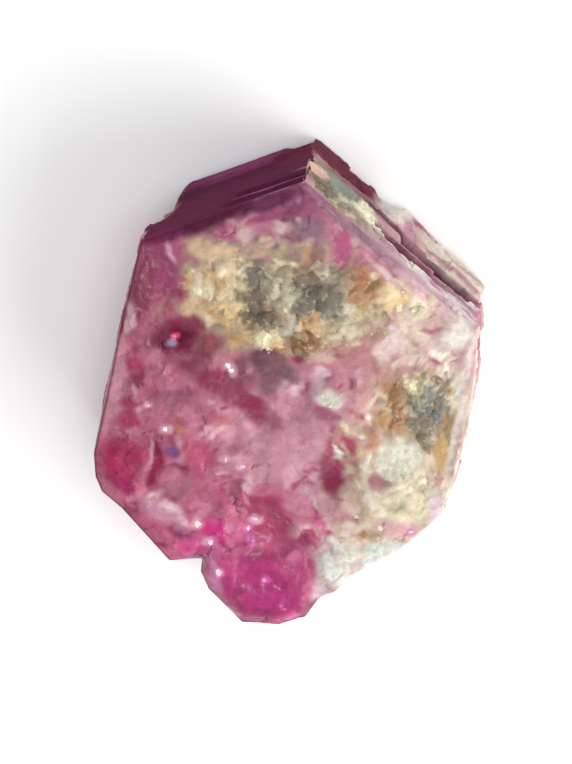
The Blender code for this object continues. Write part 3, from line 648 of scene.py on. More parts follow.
# The back base: its two ground colours, the colours of its flecks, and its markings as on the front
BACK_GROUND = ((182, 116, 134), (216, 190, 180))
BACK_FINISH = (0.1, 0.4)  # clearness and mattness
BACK_LOOKS = ((148, 58, 92), (178, 98, 124), (212, 166, 176), (228, 208, 190), (168, 128, 118))
BACK_MARKS = (
    ("back_window", (-1.80, 1.60), (1.30, 0.90), 20, (150, 48, 84), 0.7, 0.0),
    ("back_lobe", (-0.50, -4.60), (1.40, 0.90), 0, (180, 44, 116), 0.8, 0.0),
    ("back_cream", (2.20, -1.20), (1.40, 1.10), 40, (228, 216, 192), 0.0, 1.0),
    ("back_ochre", (1.40, 2.60), (0.80, 0.50), -20, (206, 168, 118), 0.0, 1.0),
    ("back_rose", (-2.60, -1.80), (0.90, 0.70), 0, (176, 84, 112), 0.4, 0.1),
)
print("side markings:", sum(map(len, SIDE_MARKS.values())), "back markings:", len(BACK_MARKS))

# %% [markdown]
# ## Markings of the rock
#
# The host rock is a pale tan rhyolite with dark grey, rust and cream grains. Its markings are given in the
# same way, but all of them are dry and dull, so most rows end at the colour. The crystal round a remnant is
# stained with its colours too, so they are needed before the crystal is painted.

# %% Markings of the remnants
DRY = (0.0, 0.9)  # clearness and mattness of rock


def rock_marks(*rows):
    """Markings of rock: a row that ends at its colour takes the clearness and mattness of dry rock."""
    return [(*row, *DRY)[:7] for row in rows]


ROCK_GROUND = ((192, 170, 138), (158, 140, 120))
# name, middle, radii, turn, colour
UPPER_MARKS = rock_marks(
    ("tan_body", (-1.63, 2.94), (0.75, 0.91), 10, (212, 188, 146)),
    ("pale_top_left", (-1.99, 4.00), (0.38, 0.34), 0, (204, 190, 162)),
    ("cream_lump", (-1.50, 3.59), (0.28, 0.26), 0, (236, 220, 182)),
    ("cream_lump_small", (-1.22, 3.77), (0.15, 0.13), 0, (238, 226, 190)),
    ("honey_ridge", (-1.92, 3.35), (0.38, 0.10), 20, (226, 188, 134)),
    ("honey_left", (-2.47, 2.99), (0.25, 0.34), 0, (206, 164, 114)),
    ("pale_lump", (-1.92, 2.79), (0.35, 0.34), 0, (220, 208, 178)),
    ("honey_low", (-1.59, 2.28), (0.28, 0.29), 0, (234, 198, 136)),
    ("rust_fleck", (-1.47, 3.26), (0.10, 0.13), 0, (176, 128, 88)),
    ("cream_right_of_body", (-1.27, 2.88), (0.15, 0.36), 0, (220, 202, 164)),
    ("grey_left_top", (-0.77, 3.17), (0.40, 0.44), 0, (110, 102, 92)),
    ("grey_left_waist", (-0.87, 2.62), (0.33, 0.31), 0, (112, 100, 82)),
    ("grey_left_low", (-0.67, 2.19), (0.45, 0.31), 0, (94, 84, 68)),
    ("pale_middle", (-0.14, 2.97), (0.40, 0.49), -20, (184, 176, 150)),
    ("light_spot", (0.18, 2.64), (0.18, 0.18), 0, (204, 198, 170)),
    ("ochre_fleck", (-0.42, 2.66), (0.13, 0.21), 0, (158, 118, 68)),
    ("grey_right", (0.81, 2.83), (0.50, 0.57), 0, (112, 104, 94)),
    ("grey_right_low", (1.26, 2.70), (0.23, 0.36), 0, (122, 114, 100)),
    ("mauve_top", (0.23, 3.79), (0.30, 0.21), 0, (148, 128, 124)),
    ("brown_top", (0.66, 3.70), (0.28, 0.21), 0, (166, 126, 106)),
    ("pale_streak", (1.16, 3.55), (0.15, 0.29), -10, (182, 176, 156)),
    ("orange_brown", (2.03, 3.15), (0.50, 0.34), 10, (190, 136, 98)),
    ("tan_arc", (2.03, 2.51), (0.53, 0.21), 35, (188, 160, 108)),
    ("pale_arc", (1.63, 2.17), (0.38, 0.23), 35, (206, 198, 170)),
    ("grey_arc", (1.38, 2.45), (0.18, 0.23), 0, (150, 142, 122)),
    ("honey_over_row", (0.76, 2.16), (0.28, 0.21), 0, (222, 182, 126)),
    ("brown_row", (0.63, 1.69), (0.43, 0.26), 0, (128, 88, 48)),
    ("white_fleck", (0.35, 2.13), (0.09, 0.10), 0, (220, 224, 210)),
    ("cream_row", (-0.34, 1.65), (0.38, 0.31), 0, (244, 230, 190)),
    ("honey_in_row", (-0.14, 1.50), (0.15, 0.13), 0, (228, 178, 108)),
    ("cream_row_left", (-0.72, 1.67), (0.28, 0.13), 0, (222, 204, 156)),
    ("honey_tail", (-1.09, 1.69), (0.15, 0.21), 0, (218, 176, 114)),
    ("pale_right_low", (1.71, 1.84), (0.25, 0.26), 0, (210, 194, 172)),
    ("honey_clot", (2.80, 2.85), (0.30, 0.36), 0, (252, 224, 172)),
    ("cream_clot", (3.40, 2.55), (0.28, 0.31), 0, (242, 234, 208)),
)
RIGHT_MARKS = rock_marks(
    ("brown_patch", (2.75, 0.35), (0.38, 0.44), 0, (168, 112, 70)),
    ("rust_patch", (2.35, -0.61), (0.23, 0.36), 0, (158, 94, 56)),
    ("amber_spot", (2.32, -0.59), (0.10, 0.08), 0, (206, 146, 74)),
    ("orange_patch", (2.91, -0.45), (0.23, 0.31), 0, (164, 106, 74)),
    ("green_grey", (3.25, -0.16), (0.15, 0.57), 0, (152, 154, 136)),
    ("grey_heart", (3.92, -0.16), (0.52, 0.80), 0, (118, 120, 114)),
    ("heart_spot", (3.59, -0.05), (0.11, 0.10), 0, (164, 168, 154)),
    ("heart_foot", (3.62, -0.90), (0.21, 0.19), 0, (134, 134, 110)),
    ("heart_top", (3.72, 0.39), (0.23, 0.19), 0, (136, 136, 128)),
    ("cream_top", (3.34, 0.65), (0.26, 0.25), 0, (238, 230, 188)),
    ("tan_top", (3.86, 0.89), (0.19, 0.21), 0, (206, 184, 160)),
    ("cream_side", (4.29, 0.58), (0.18, 0.49), 0, (240, 232, 210)),
    ("tan_side", (4.30, -0.62), (0.15, 0.34), 0, (188, 164, 128)),
    ("dark_fleck", (4.00, -0.95), (0.13, 0.06), 0, (96, 92, 80)),
    ("cream_rim", (2.31, 0.61), (0.10, 0.26), -20, (224, 198, 178)),
)
# On the upper right prism face: along it from the apex, and up from the resting face
LEDGE_MARKS = rock_marks(
    ("olive_body", (1.10, 3.40), (1.30, 1.20), 0, (160, 148, 126)),
    ("grey_brown", (0.60, 4.00), (0.60, 0.50), 0, (128, 116, 98)),
    ("grey_green", (1.10, 2.70), (0.65, 0.45), 0, (156, 164, 152)),
    ("ochre_hollow", (1.05, 3.40), (0.20, 0.22), 0, (150, 116, 58)),
    ("pale_middle", (1.30, 3.60), (0.35, 0.30), 0, (206, 198, 172)),
    ("bright_cream", (1.75, 2.95), (0.38, 0.60), 0, (252, 248, 216)),
    ("peach_grain", (0.30, 2.85), (0.38, 0.45), 0, (242, 202, 188), 0.0, 0.6),
    ("pale_end", (2.20, 3.50), (0.55, 0.45), 0, (240, 232, 208)),
)
ROCK_LOOKS = ((228, 216, 184), (146, 132, 114), (184, 148, 108), (176, 148, 134))
UPPER_SEED, RIGHT_SEED, LEDGE_SEED = 400, 430, 460
# Stains of the front base: middle, radii, the rock's markings and its seed
ROCK_STAINS = (
    ((0.15, 2.72), (2.95, 1.30), UPPER_MARKS, UPPER_SEED),
    ((3.42, -0.25), (1.20, 1.25), RIGHT_MARKS, RIGHT_SEED),
)
print("rock markings:", len(UPPER_MARKS) + len(RIGHT_MARKS) + len(LEDGE_MARKS))

# %% [markdown]
# ## Painting
#
# A coat of paint is five numbers a point: red, green and blue as the renderer counts them, then clearness
# and mattness. It starts from the ground colours and takes the markings one after the other. It could be
# baked to an image, but a mesh this fine carries its colours on its points, with no seams to hide.
#
# Clearness and mattness steer the relief as well as the finish: a clear window is smooth, a bleached patch
# is covered with grains. So the coat is painted first, and the relief reads it.


# %% Painting
# Facets that give both lightness and relief, each as size and seed
WIDE_FACETS, SMALL_FACETS, SIDE_CHIPS, BACK_FACETS = (0.42, 61), (0.17, 62), (0.22, 73), (0.50, 81)
BEND_SIZES = ((0.24, 0.70, 0), (0.13, 0.28, 10), (0.06, 0.12, 20))  # how far, how wide, seed


def linear(colour):
    """A colour out of 255, as a screen shows it, in the linear scale that light adds up in."""
    share = np.array(colour, dtype=float) / 255.0
    return np.where(share <= 0.04045, share / 12.92, ((share + 0.055) / 1.055) ** 2.4)


def bent(points, seed, strength=1.0):
    """Points pushed about by noise of three sizes, so that a marking drawn on them has a natural edge."""
    return points + strength * np.column_stack([
        sum(push * flat_noise(points, size, seed + more + axis) for push, size, more in BEND_SIZES)
        for axis in (0, 1)
    ])


def ground_coat(points, ground, clear, matt, seed):
    """A face before its markings: its two ground colours mixed by noise 0.9 and 0.35 mm wide."""
    mix = smooth(-0.5, 0.5, flat_noise(points, 0.9, seed) + 0.5 * flat_noise(points, 0.35, seed + 1))[:, None]
    colour = linear(ground[0]) * (1.0 - mix) + linear(ground[1]) * mix
    return np.column_stack([colour, np.full(len(points), clear), np.full(len(points), matt)])


def with_marks(coat, points, marks, softness):
    """The coat with each marking laid over it, in order. A marking covers fully inside its ellipse less
    its softness and not at all outside it plus its softness."""
    coat = coat.copy()
    for _, middle, radii, turn, colour, clear, matt in marks:
        way = points - np.array(middle)
        near = np.flatnonzero(np.abs(way).max(axis=1) < max(radii) * (1.0 + softness))
        angle, way = math.radians(turn), way[near]
        u = (way[:, 0] * math.cos(angle) + way[:, 1] * math.sin(angle)) / radii[0]
        v = (way[:, 1] * math.cos(angle) - way[:, 0] * math.sin(angle)) / radii[1]
        cover = (1.0 - smooth(1.0 - softness, 1.0 + softness, np.hypot(u, v)))[:, None]
        coat[near] += (np.array([*linear(colour), clear, matt]) - coat[near]) * cover
    return coat


def flecks(fields, seed):
    """The small markings of some fields, spread evenly over each field's ellipse: a fleck's share of the
    way out is the root of a random number from 0 to 1. Its length is 0.5 to 1.6 times the field's size."""
    random = np.random.default_rng(seed)
    marks = []
    for name, middle, radii, count, size, colours, clear, matt in fields:
        turns, reaches = random.uniform(0.0, 2.0 * np.pi, count), np.sqrt(random.uniform(0.0, 1.0, count))
        for turn, reach in zip(turns, reaches):
            x, y = radii[0] * reach * math.cos(turn), radii[1] * reach * math.sin(turn)
            place = (middle[0] + x, middle[1] + y)
            length = size * random.uniform(0.5, 1.6)
            across = length * random.uniform(0.4, 1.0)
            colour = colours[random.integers(len(colours))]
            marks.append((name, place, (length, across), random.uniform(0.0, 180.0), colour, clear, matt))
    return marks


def face_marks(table, face):
    """A face's markings with the turn of nought that with_marks expects."""
    return [(name, middle, radii, 0, *rest) for name, middle, radii, *rest in table.get(face, ())]


def stained(coat, points):
    """The coat with the colours of the remnants soaked into the crystal round them. A stain covers 0.85 at
    most and fades between 0.80 and 1.10 of its ellipse, whose outline is ragged."""
    for middle, radii, marks, seed in ROCK_STAINS:
        moved = bent(points, seed)
        away = np.hypot(*((moved - np.array(middle)) / np.array(radii)).T)
        away += 0.30 * flat_noise(points, 0.35, seed + 5)
        cover = (0.85 * (1.0 - smooth(0.80, 1.10, away)))[:, None]
        rock = with_marks(ground_coat(points, ROCK_GROUND, *DRY, seed), moved, marks, softness=0.5)
        coat = coat * (1.0 - cover) + rock * cover
    return coat


def rimmed(coat, points):
    """The coat with the markings that follow the rim, each drawn in its face's frame: along the face and
    inward from it."""
    for face in RIM_MARKS:
        start, end = face_ends[face]
        along = (end - start) / face_length[face]
        way = points - start
        places = np.column_stack([way @ along, way @ np.array([along[1], -along[0]])])
        marks = face_marks(RIM_MARKS, face)
        coat = with_marks(coat, bent(places, 150, strength=0.22), marks, softness=0.5)
    return coat


def front_coat(points):
    """The coat of the front base: ground, wide soft zones, flecks, stains of rock, flecks of rock where the
    coat is matt, markings, painted glows of light round the chips, and markings along the rim. At last
    every etched facet is a little lighter or darker than its neighbours."""
    coat = ground_coat(points, FRONT_GROUND, *FRONT_FINISH, 100)
    coat = with_marks(coat, bent(points, 110), FRONT_ZONES, softness=0.85)
    coat = with_marks(coat, bent(points, 140), FRONT_FLECKS, softness=0.60)
    coat = stained(coat, points)
    flecked = with_marks(coat, bent(points, 145), ROCK_FLECKS, softness=0.60)
    coat += (flecked - coat) * smooth(0.4, 0.8, coat[:, 4:])
    coat = with_marks(coat, bent(points, 120, strength=0.6), FRONT_MARKS, softness=0.50)
    coat = with_marks(coat, bent(points, 125, strength=0.4), PAINTED_CHIP_GLOWS, softness=0.60)
    coat = rimmed(coat, points)
    wide, small = cells(bent(points, 60), *WIDE_FACETS)[2], cells(points, *SMALL_FACETS)[2]
    coat[:, :3] *= (0.82 + 0.22 * wide[:, 3] + 0.14 * small[:, 3])[:, None]
    return coat


def side_coat(along, depth, face):
    """The coat of a side face at places along it and depths below the front base. Its ground and its flecks
    are stretched along the face, so they mix in level bands, and the markings are bent less up and down
    than along. Fine level growth lines and the chips of the face are lighter or darker."""
    first, second, clear, matt = SIDE_GROUND[face]
    seed = 300 + 10 * sorted(SIDE_GROUND).index(face)
    places = np.column_stack([along, depth])
    steady = places + (bent(places, seed) - places) * np.array([1.0, 0.30])
    stretched = places * np.array([0.35, 1.0])
    coat = ground_coat(stretched, (first, second), clear, matt, seed)
    moved = bent(stretched, seed + 3, strength=0.5)
    coat = with_marks(coat, moved, SIDE_FLECKS.get(face, ()), softness=0.45)
    coat = with_marks(coat, steady, face_marks(SIDE_MARKS, face), softness=0.40)
    lines = flat_noise(places * np.array([0.18, 1.0]), 0.22, seed + 6)
    lines += flat_noise(places * np.array([0.3, 1.0]), 0.09, seed + 7)
    luck = cells(places, *SIDE_CHIPS)[2]
    rough = CALM if face == "top_left" else 1.0
    coat[:, :3] *= (1.0 + 0.10 * lines + 0.18 * rough * (luck[:, 3] - 0.65))[:, None]
    return coat


FRONT_FLECKS = flecks(FLECK_FIELDS, 130)
ROCK_FLECKS = flecks([("grains", *stain[:2], 90, 0.13, ROCK_LOOKS, *DRY) for stain in ROCK_STAINS], 135)
SIDE_FLECKS = {}
for face, look in SIDE_FLECK_LOOKS.items():
    # a face's places are shrunk to 0.35 of its length before the flecks are drawn, and so is their field
    field = (face, (0.17 * face_length[face], 2.5), (0.20 * face_length[face], 2.9), 160, 0.12, *look)
    SIDE_FLECKS[face] = flecks([field], 180)
BACK_FLECKS = flecks([("back", (0.0, 0.0), (4.60, 5.60), 220, 0.32, BACK_LOOKS, *BACK_FINISH)], 138)
print("flecks:", sum(map(len, (FRONT_FLECKS, ROCK_FLECKS, BACK_FLECKS, *SIDE_FLECKS.values()))))

# %% [markdown]
# ## The crystal's shape
#
# The crystal is one closed surface. A block cut by planes would give clean facets but none of the wear,
# and a sculpted blob would lose the prism. Points that follow the prism keep both: the faces stay plane at
# a distance, and close up each has its own steps and pits. So the shape is a sum of heights, from the swell
# of a whole face to facets a fifth of a millimetre across, added square to the plane they stand on.


# %% Relief of the faces
# Heights of the fine relief: on the front base, on its crust of grains, and on the sides
WIDE_FACET, SMALL_FACET, WIDE_GRAIN, TINY_GRAIN = 0.055, 0.020, 0.065, 0.020
LAYER, SIDE_CHIP, LINE, LINE_GAP = 0.11, 0.035, 0.010, 0.21
BACK_FACET = 0.05


def rim_rounding():
    """How far the rim is rounded at each point: widely on the lobe, hardly on the prism faces, and in
    between within 0.9 mm of the lobe."""
    lobe = rim[face_of == "lobe"]
    away = np.linalg.norm(rim[:, None] - lobe[None], axis=2).min(axis=1)
    return RIM_ROUND + (LOBE_ROUND - RIM_ROUND) * (1.0 - smooth(0.0, 0.9, away))


def side_offset(points, names, shares, depth):
    """How far the sides of the solid stand out of the straight prism at a depth below the front base. A
    step fades in and out over 0.03 of the face before and after each of its ends."""
    offset = np.zeros(len(points))
    for face, steps in SIDE_STEPS.items():
        for _, start, end, low, high, height in steps:
            along = smooth(start - 0.03, start + 0.03, shares)
            along *= 1.0 - smooth(end - 0.03, end + 0.03, shares)
            across = smooth(low, low + STEP_SLOPE, depth) * (1.0 - smooth(high, high + STEP_SLOPE, depth))
            offset += height * along * across * (names == face)
    near = 1.0 - smooth(0.0, CHAMFER_WIDTH, np.linalg.norm(points - face_ends["top_left"][0], axis=1))
    offset -= BACK_CHAMFER * near * smooth(1.0, HEIGHT, depth)
    rough = np.where((names == "top_left") | (names == "top_right"), CALM, 1.0)
    return offset + SIDE_SWELL * rough * lattice_noise(np.column_stack([points, depth]), 1.3, 11)


def front_relief(points):
    """Height of the solid's front base above its plane: two waves of noise, and the named forms. Each form
    is whole out to 0.35 of its radius, which noise makes uneven."""
    height = BASE_SWELL * flat_noise(points, 1.5, 1) + BASE_RIPPLE * flat_noise(points, 0.75, 2)
    for _, middle, radius, rise in FRONT_FORMS:
        away = np.linalg.norm(points - np.array(middle), axis=1)
        away = away * (1.0 + 0.25 * flat_noise(points, 0.7, 3))
        height += rise * (1.0 - smooth(0.35 * radius, radius, away))
    return height


def fine_front(points, coat):
    """The finer relief of the front base: etched facets, smooth in the clear windows, and a crust of small
    grains where the crystal is bleached."""
    clear, matt = coat[:, 3], coat[:, 4]
    etched = facets(bent(points, 60), *WIDE_FACETS, WIDE_FACET) + facets(points, *SMALL_FACETS, SMALL_FACET)
    crust = grains(bent(points, 63), 0.26, 64, WIDE_GRAIN) + grains(points, 0.11, 65, TINY_GRAIN)
    return etched * (1.0 - 0.8 * clear) * (1.0 - 0.6 * matt) + crust * matt


def fine_side(along, depth, coat, rough):
    """The finer relief of a side face: broken growth layers, each cell far longer than it is deep, fine
    level lines, and small facets."""
    clear, matt = coat[:, 3], coat[:, 4]
    places = np.column_stack([along * 0.28, depth])
    layers = facets(bent(places, 70), 0.42, 71, LAYER)
    lines = LINE * np.sin(2.0 * np.pi * (depth + 0.12 * flat_noise(places, 0.8, 72)) / LINE_GAP)
    chips = facets(np.column_stack([along, depth]), *SIDE_CHIPS, SIDE_CHIP)
    return (layers * (1.0 - 0.75 * clear) + lines + chips * (1.0 - clear) * (0.6 + 0.6 * matt)) * rough


def front_height(points, from_rim):
    """Height of the fine front base, and its coat. The solid's relief fades out in the last 0.25 mm before
    the rim, the fine relief in the last 0.06 mm."""
    coat = front_coat(points)
    fine = fine_front(points, coat) * smooth(0.0, 0.06, from_rim)
    return HEIGHT + front_relief(points) * smooth(0.0, 0.25, from_rim) + fine, coat


print("rim rounded by", rim_rounding().min(), "to", rim_rounding().max(), "mm")


# %% [markdown]
# ## The points of the crystal
#
# The front base is a square grid whose nested square rings are pulled out to the outline, so its points are
# nearly as dense in the middle as at the rim. Round rings with a single middle point would crowd there and
# smear the facets. From the rim the side faces go down as level rings. The back base is a coarser grid.
#
# A natural crystal's colour doesn't stop at its edges. So the colour of the rim carries on a little way
# down the sides, and where two faces meet each colour sways across the corner.

# %% The points of the crystal
SIDE_LEVELS, BASE_SQUARES = 58, 100
CROWDING = 1.3  # power that draws the points of the front base towards its rim
CARRY, CARRY_DEPTH = 0.8, 0.35  # how much of the rim's colour the sides keep, and how far down
SWAY = 5.0  # how many points along the loop a colour may wander
BASE_EDGE = 0.985  # where the back base's grid ends, as a share of the foot
SMOOTHEST = 0.12  # share of the fine relief that the upper left face keeps
# Painted shade: the rim of the clear faces is painted darker, as it looks when one looks along it through
# more of the crystal
RIM_SHADES = {"left": (0.65, 0.10), "lower_left": (0.65, 0.10), "lobe": (0.45, 0.32)}  # how much, how wide
rim_shade, rim_reach = np.array([RIM_SHADES.get(name, (0.0, 0.10)) for name in face_of]).T
loop_place = np.concatenate([[0.0], np.cumsum(np.linalg.norm(np.diff(rim, axis=0), axis=1))])


def square_cap(squares):
    """A grid from -1 to 1 both ways as nested square rings: for each point, how far out its ring is, from
    0 to 1, and how far round it the point lies, clockwise from a corner, from 0 to 1."""
    line = np.linspace(-1.0, 1.0, squares + 1)
    u, v = np.meshgrid(line, line)
    ring = np.maximum(np.abs(u), np.abs(v))
    safe = np.maximum(ring, 1e-9)
    sides = [side + (safe + way) / (2 * safe) for side, way in enumerate((u, -v, -u, v))]
    turn = np.select([v >= ring, u >= ring, -v >= ring], sides[:3], sides[3]) / 4.0
    return ring.ravel(), turn.ravel() % 1.0


def round_loop(values, turn):
    """Values of the loop's points, at places round it from 0 to 1. A place a trace before a point counts as
    that point."""
    at = turn * len(values)
    low = np.floor(at + 1e-6).astype(int) % len(values)
    part = np.clip(at - np.floor(at + 1e-6), 0.0, 1.0)
    part = part.reshape(-1, *[1] * (values.ndim - 1))
    return values[low] * (1.0 - part) + values[(low + 1) % len(values)] * part


def untangled(loop):
    """A clockwise loop whose points turn one way only round the middle, each by at least a trace."""
    trace = 1e-5 * np.arange(len(loop))
    angle = np.minimum.accumulate(np.unwrap(np.arctan2(loop[:, 1], loop[:, 0])) + trace) - trace
    return np.linalg.norm(loop, axis=1)[:, None] * np.column_stack([np.cos(angle), np.sin(angle)])


def crystal_cap(rounding):
    """The front base: the outline times a share that crowds towards the rim. Over the rounded rim it drops
    by r(1 - √(1 - t²)), t the share of the rounding r already crossed."""
    ring, turn = square_cap(FRONT_SQUARES)
    share = 1.0 - (1.0 - ring) ** CROWDING
    edge, rounding = round_loop(rim, turn), round_loop(rounding, turn)
    flat, from_rim = edge * share[:, None], (1.0 - share) * np.linalg.norm(edge, axis=1)
    crossed = np.clip(1.0 - from_rim / rounding, 0.0, 1.0)
    height, coat = front_height(flat, from_rim)
    # painted shade: darker within its reach of the rim on the left, lower left and lobe faces
    shade = 1.0 - round_loop(rim_shade, turn) * (1.0 - smooth(0.0, round_loop(rim_reach, turn), from_rim))
    return np.column_stack([flat, height - rounding * (1.0 - np.sqrt(1.0 - crossed * crossed))]), coat, shade


def crystal_sides(rounding, rim_coat):
    """The side faces as level rings, the outline plus an offset along its normal, down to the foot. The
    lobe's colour spills raggedly over the end of the lower right face."""
    rings, coats = [], []
    side_rough = np.where(face_of == "top_left", SMOOTHEST, 1.0)
    for share in np.linspace(0.0, 1.0, SIDE_LEVELS + 1)[1:]:
        height = FOOT_BEVEL + (HEIGHT - FOOT_BEVEL - rounding) * (1.0 - share)
        depth = HEIGHT - height
        coat = np.zeros((len(rim), 5))
        for face in SIDE_GROUND:
            here = face_of == face
            coat[here] = side_coat(along_of[here], depth[here], face)
        ragged = along_of + 0.8 * flat_noise(np.column_stack([along_of, depth]), 0.6, 91)
        spill = (smooth(-0.7, 0.0, ragged - face_length["lower_right"]) * (face_of == "lower_right"))[:, None]
        coat = coat * (1.0 - spill) + side_coat(along_of, depth, "lobe") * spill
        sway = np.rint(SWAY * flat_noise(np.column_stack([loop_place, depth]), 0.45, 92)).astype(int)
        coat = coat[(np.arange(len(rim)) + sway) % len(rim)]
        keep = (1.0 - smooth(0.0, CARRY_DEPTH, depth - rounding))[:, None] * CARRY
        coat = coat * (1.0 - keep) + rim_coat * keep
        # the painted rim shade, carried a little way down the sides
        coat[:, :4] *= (1.0 - rim_shade * (1.0 - smooth(0.0, rim_reach, depth - rounding)))[:, None]
        offset = side_offset(rim, face_of, share_of, depth) + fine_side(along_of, depth, coat, side_rough)
        offset *= smooth(0.0, 0.12, share)
        rings.append(np.column_stack([rim + rim_normal * offset[:, None], height]))
        coats.append(coat)
    foot = untangled(rings[-1][:, :2] - rim_normal * FOOT_BEVEL)
    rings.append(np.column_stack([foot, np.zeros(len(rim))]))
    return np.array(rings), np.array([*coats, coats[-1]])


def crystal_base(foot):
    """The back base: the foot of the sides times a share, hollowed a little between its rim and its middle,
    so that it rests on both. Each of its cleavage facets has its own lightness."""
    ring, turn = square_cap(BASE_SQUARES)
    share = BASE_EDGE * ring
    flat = round_loop(foot, turn) * share[:, None]
    inner = (1.0 - smooth(0.86, 0.97, share)) * smooth(0.40, 0.55, share)
    hollow = HOLLOW_FOOT * smooth(-0.2, 0.5, flat_noise(flat, 1.6, 7))
    hollow += np.abs(facets(flat, *BACK_FACETS, BACK_FACET))
    coat = ground_coat(flat, BACK_GROUND, *BACK_FINISH, 200)
    coat = with_marks(coat, bent(flat, 210), BACK_MARKS, softness=0.5)
    coat = with_marks(coat, bent(flat, 215), BACK_FLECKS, softness=0.85)
    coat[:, :3] *= 0.84 + 0.26 * cells(flat, *BACK_FACETS)[2][:, 3:]
    return np.column_stack([flat, hollow * inner]), coat


rounding = rim_rounding()
cap, cap_coat, cap_shade = crystal_cap(rounding)
print("front base:", len(cap), "points,", np.round([cap[:, 2].min(), cap[:, 2].max()], 2), "mm up")

# %% [markdown]
# ## From points to a mesh
#
# One helper closes the crystal and the remnants: a square grid on top, rings that carry on from its edge,
# joined by quads, and a coarser square grid below. Modifiers could thicken a sheet instead, but here every
# point is known already. The coat goes in as two colour attributes, tint and finish, which the materials
# read. Edges sharper than an angle stay sharp, so facets glint and swells stay soft.


# %% Surfaces
def link(thing):
    """Puts an object in the scene."""
    bpy.context.scene.collection.objects.link(thing)


def show(piece):
    """Puts a piece in the scene, on the crystal's body."""
    link(piece)
    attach(piece, "root")


def mesh_of(name, points, faces, coat, sharp_angle):
    """A mesh object from points in millimetres, with its coat as the attributes tint and finish. Finish
    holds clearness as red and mattness as green."""
    mesh = bpy.data.meshes.new(name)
    mesh.from_pydata((points * MM).tolist(), [], faces)
    for attribute, channels in (("tint", coat[:, :3]), ("finish", coat[:, 3:])):
        values = np.zeros((len(points), 4), dtype=np.float32)
        values[:, : channels.shape[1]], values[:, 3] = channels, 1.0
        mesh.attributes.new(attribute, "FLOAT_COLOR", "POINT").data.foreach_set("color", values.ravel())
    mesh.shade_smooth()
    mesh.set_sharp_from_angle(angle=math.radians(sharp_angle))
    mesh.update()
    return bpy.data.objects.new(name, mesh)


def grid_parts(count):
    """The squares of a square grid of count points, anticlockwise, and the points of its edge, clockwise."""
    side = round(count**0.5)
    grid = np.arange(count).reshape(side, side)
    squares = np.stack([grid[:-1, :-1], grid[:-1, 1:], grid[1:, 1:], grid[1:, :-1]], axis=-1).reshape(-1, 4)
    return squares, np.concatenate([grid[-1, :-1], grid[:0:-1, -1], grid[0, :0:-1], grid[:-1, 0]])


def ring_quads(index):
    """The quads between neighbouring rings of point numbers, one ring a row."""
    after = np.roll(index, -1, axis=1)
    return np.stack([index[:-1], after[:-1], after[1:], index[1:]], axis=-1).reshape(-1, 4)


def closed_surface(name, cap, rings, base, cap_coat, ring_coats, base_coat, sharp_angle=40.0):
    """A closed surface: a square grid of points for its top, rings that carry on from the grid's edge, and
    a coarser square grid below. Each face that joins the last ring to that grid spans several points of
    the ring."""
    (squares, edge), (low_squares, low_edge) = grid_parts(len(cap)), grid_parts(len(base))
    rows, count = rings.shape[:2]
    index = np.concatenate([[edge], len(cap) + np.arange(rows * count).reshape(rows, count)])
    first, span = len(cap) + rows * count, count // len(low_edge)
    spans = (np.arange(span + 1) + span * np.arange(len(low_edge))[:, None]) % count
    joins = np.column_stack([index[-1][spans], first + np.roll(low_edge, -1), first + low_edge])
    parts = squares, ring_quads(index), joins, first + low_squares[:, ::-1]
    points = np.concatenate([cap, rings.reshape(-1, 3), base])
    coat = np.concatenate([cap_coat, ring_coats.reshape(-1, 5), base_coat])
    return mesh_of(name, points, [face for part in parts for face in part.tolist()], coat, sharp_angle)


def edge_of(values):
    """The values of a square grid's edge, clockwise from its corner."""
    return values[grid_parts(len(values))[1]]


rings, ring_coats = crystal_sides(rounding, edge_of(cap_coat))
base, base_coat = crystal_base(rings[-1][:, :2])
# the painted rim shade goes on the front base after its edge colour has been carried to the sides
cap_coat[:, :4] *= cap_shade[:, None]
crystal = closed_surface("fine_red_beryl_crystal", cap, rings, base, cap_coat, ring_coats, base_coat)
show(crystal)
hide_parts("red_beryl_crystal")
print("crystal top:", round(float(cap[:, 2].max()), 3))
print("crystal triangles:", sum(len(face.vertices) - 2 for face in crystal.data.polygons))

# %% [markdown]
# ## The rhyolite remnants
#
# Each remnant is a thin crust of packed grains that follows the crystal under it. Thousands of separate
# grains would cost far more points and leave gaps. So its thickness is the height of packed domes less a
# little, faded out towards the edge of its footprint, and the last grains stand out of the crystal one by
# one, which makes the edge ragged. Below, the crust closes inside the crystal.

# %% The remnants
CRUST_BODY, BODY_SWELL, BODY_HOLLOW = 0.125, 0.03, 0.05  # thickness under the grains, and how it varies
CRUST_SINK = 0.10  # how far the crust's outer edge lies inside the crystal
UNDER_SINK = 0.16  # how much deeper its underside lies
GRAIN, SMALL_GRAIN = 0.30, 0.15  # how wide the grains are
GRAIN_HEIGHT, SMALL_HEIGHT = 0.12, 0.035
CREAM, BROWN = (236, 228, 204), (138, 108, 80)  # what some of the grains turn towards


def crust(points, share, seed):
    """Thickness of a crust, less CRUST_SINK: a body that fades out first, and grains of two sizes that
    last longer, so that single grains stand beyond its edge."""
    edge = share + 0.20 * flat_noise(points, 0.80, seed + 4) + 0.12 * flat_noise(points, 0.30, seed + 5)
    body = CRUST_BODY + BODY_SWELL * flat_noise(points, 0.8, seed)
    body -= BODY_HOLLOW * smooth(0.25, 0.7, flat_noise(points, 0.55, seed + 6))
    grain = grains(bent(points, seed + 1), GRAIN, seed + 2, GRAIN_HEIGHT)
    grain += grains(points, SMALL_GRAIN, seed + 3, SMALL_HEIGHT)
    return body * (1.0 - smooth(0.45, 0.90, edge)) + grain * (1.0 - smooth(0.72, 1.02, edge)) - CRUST_SINK


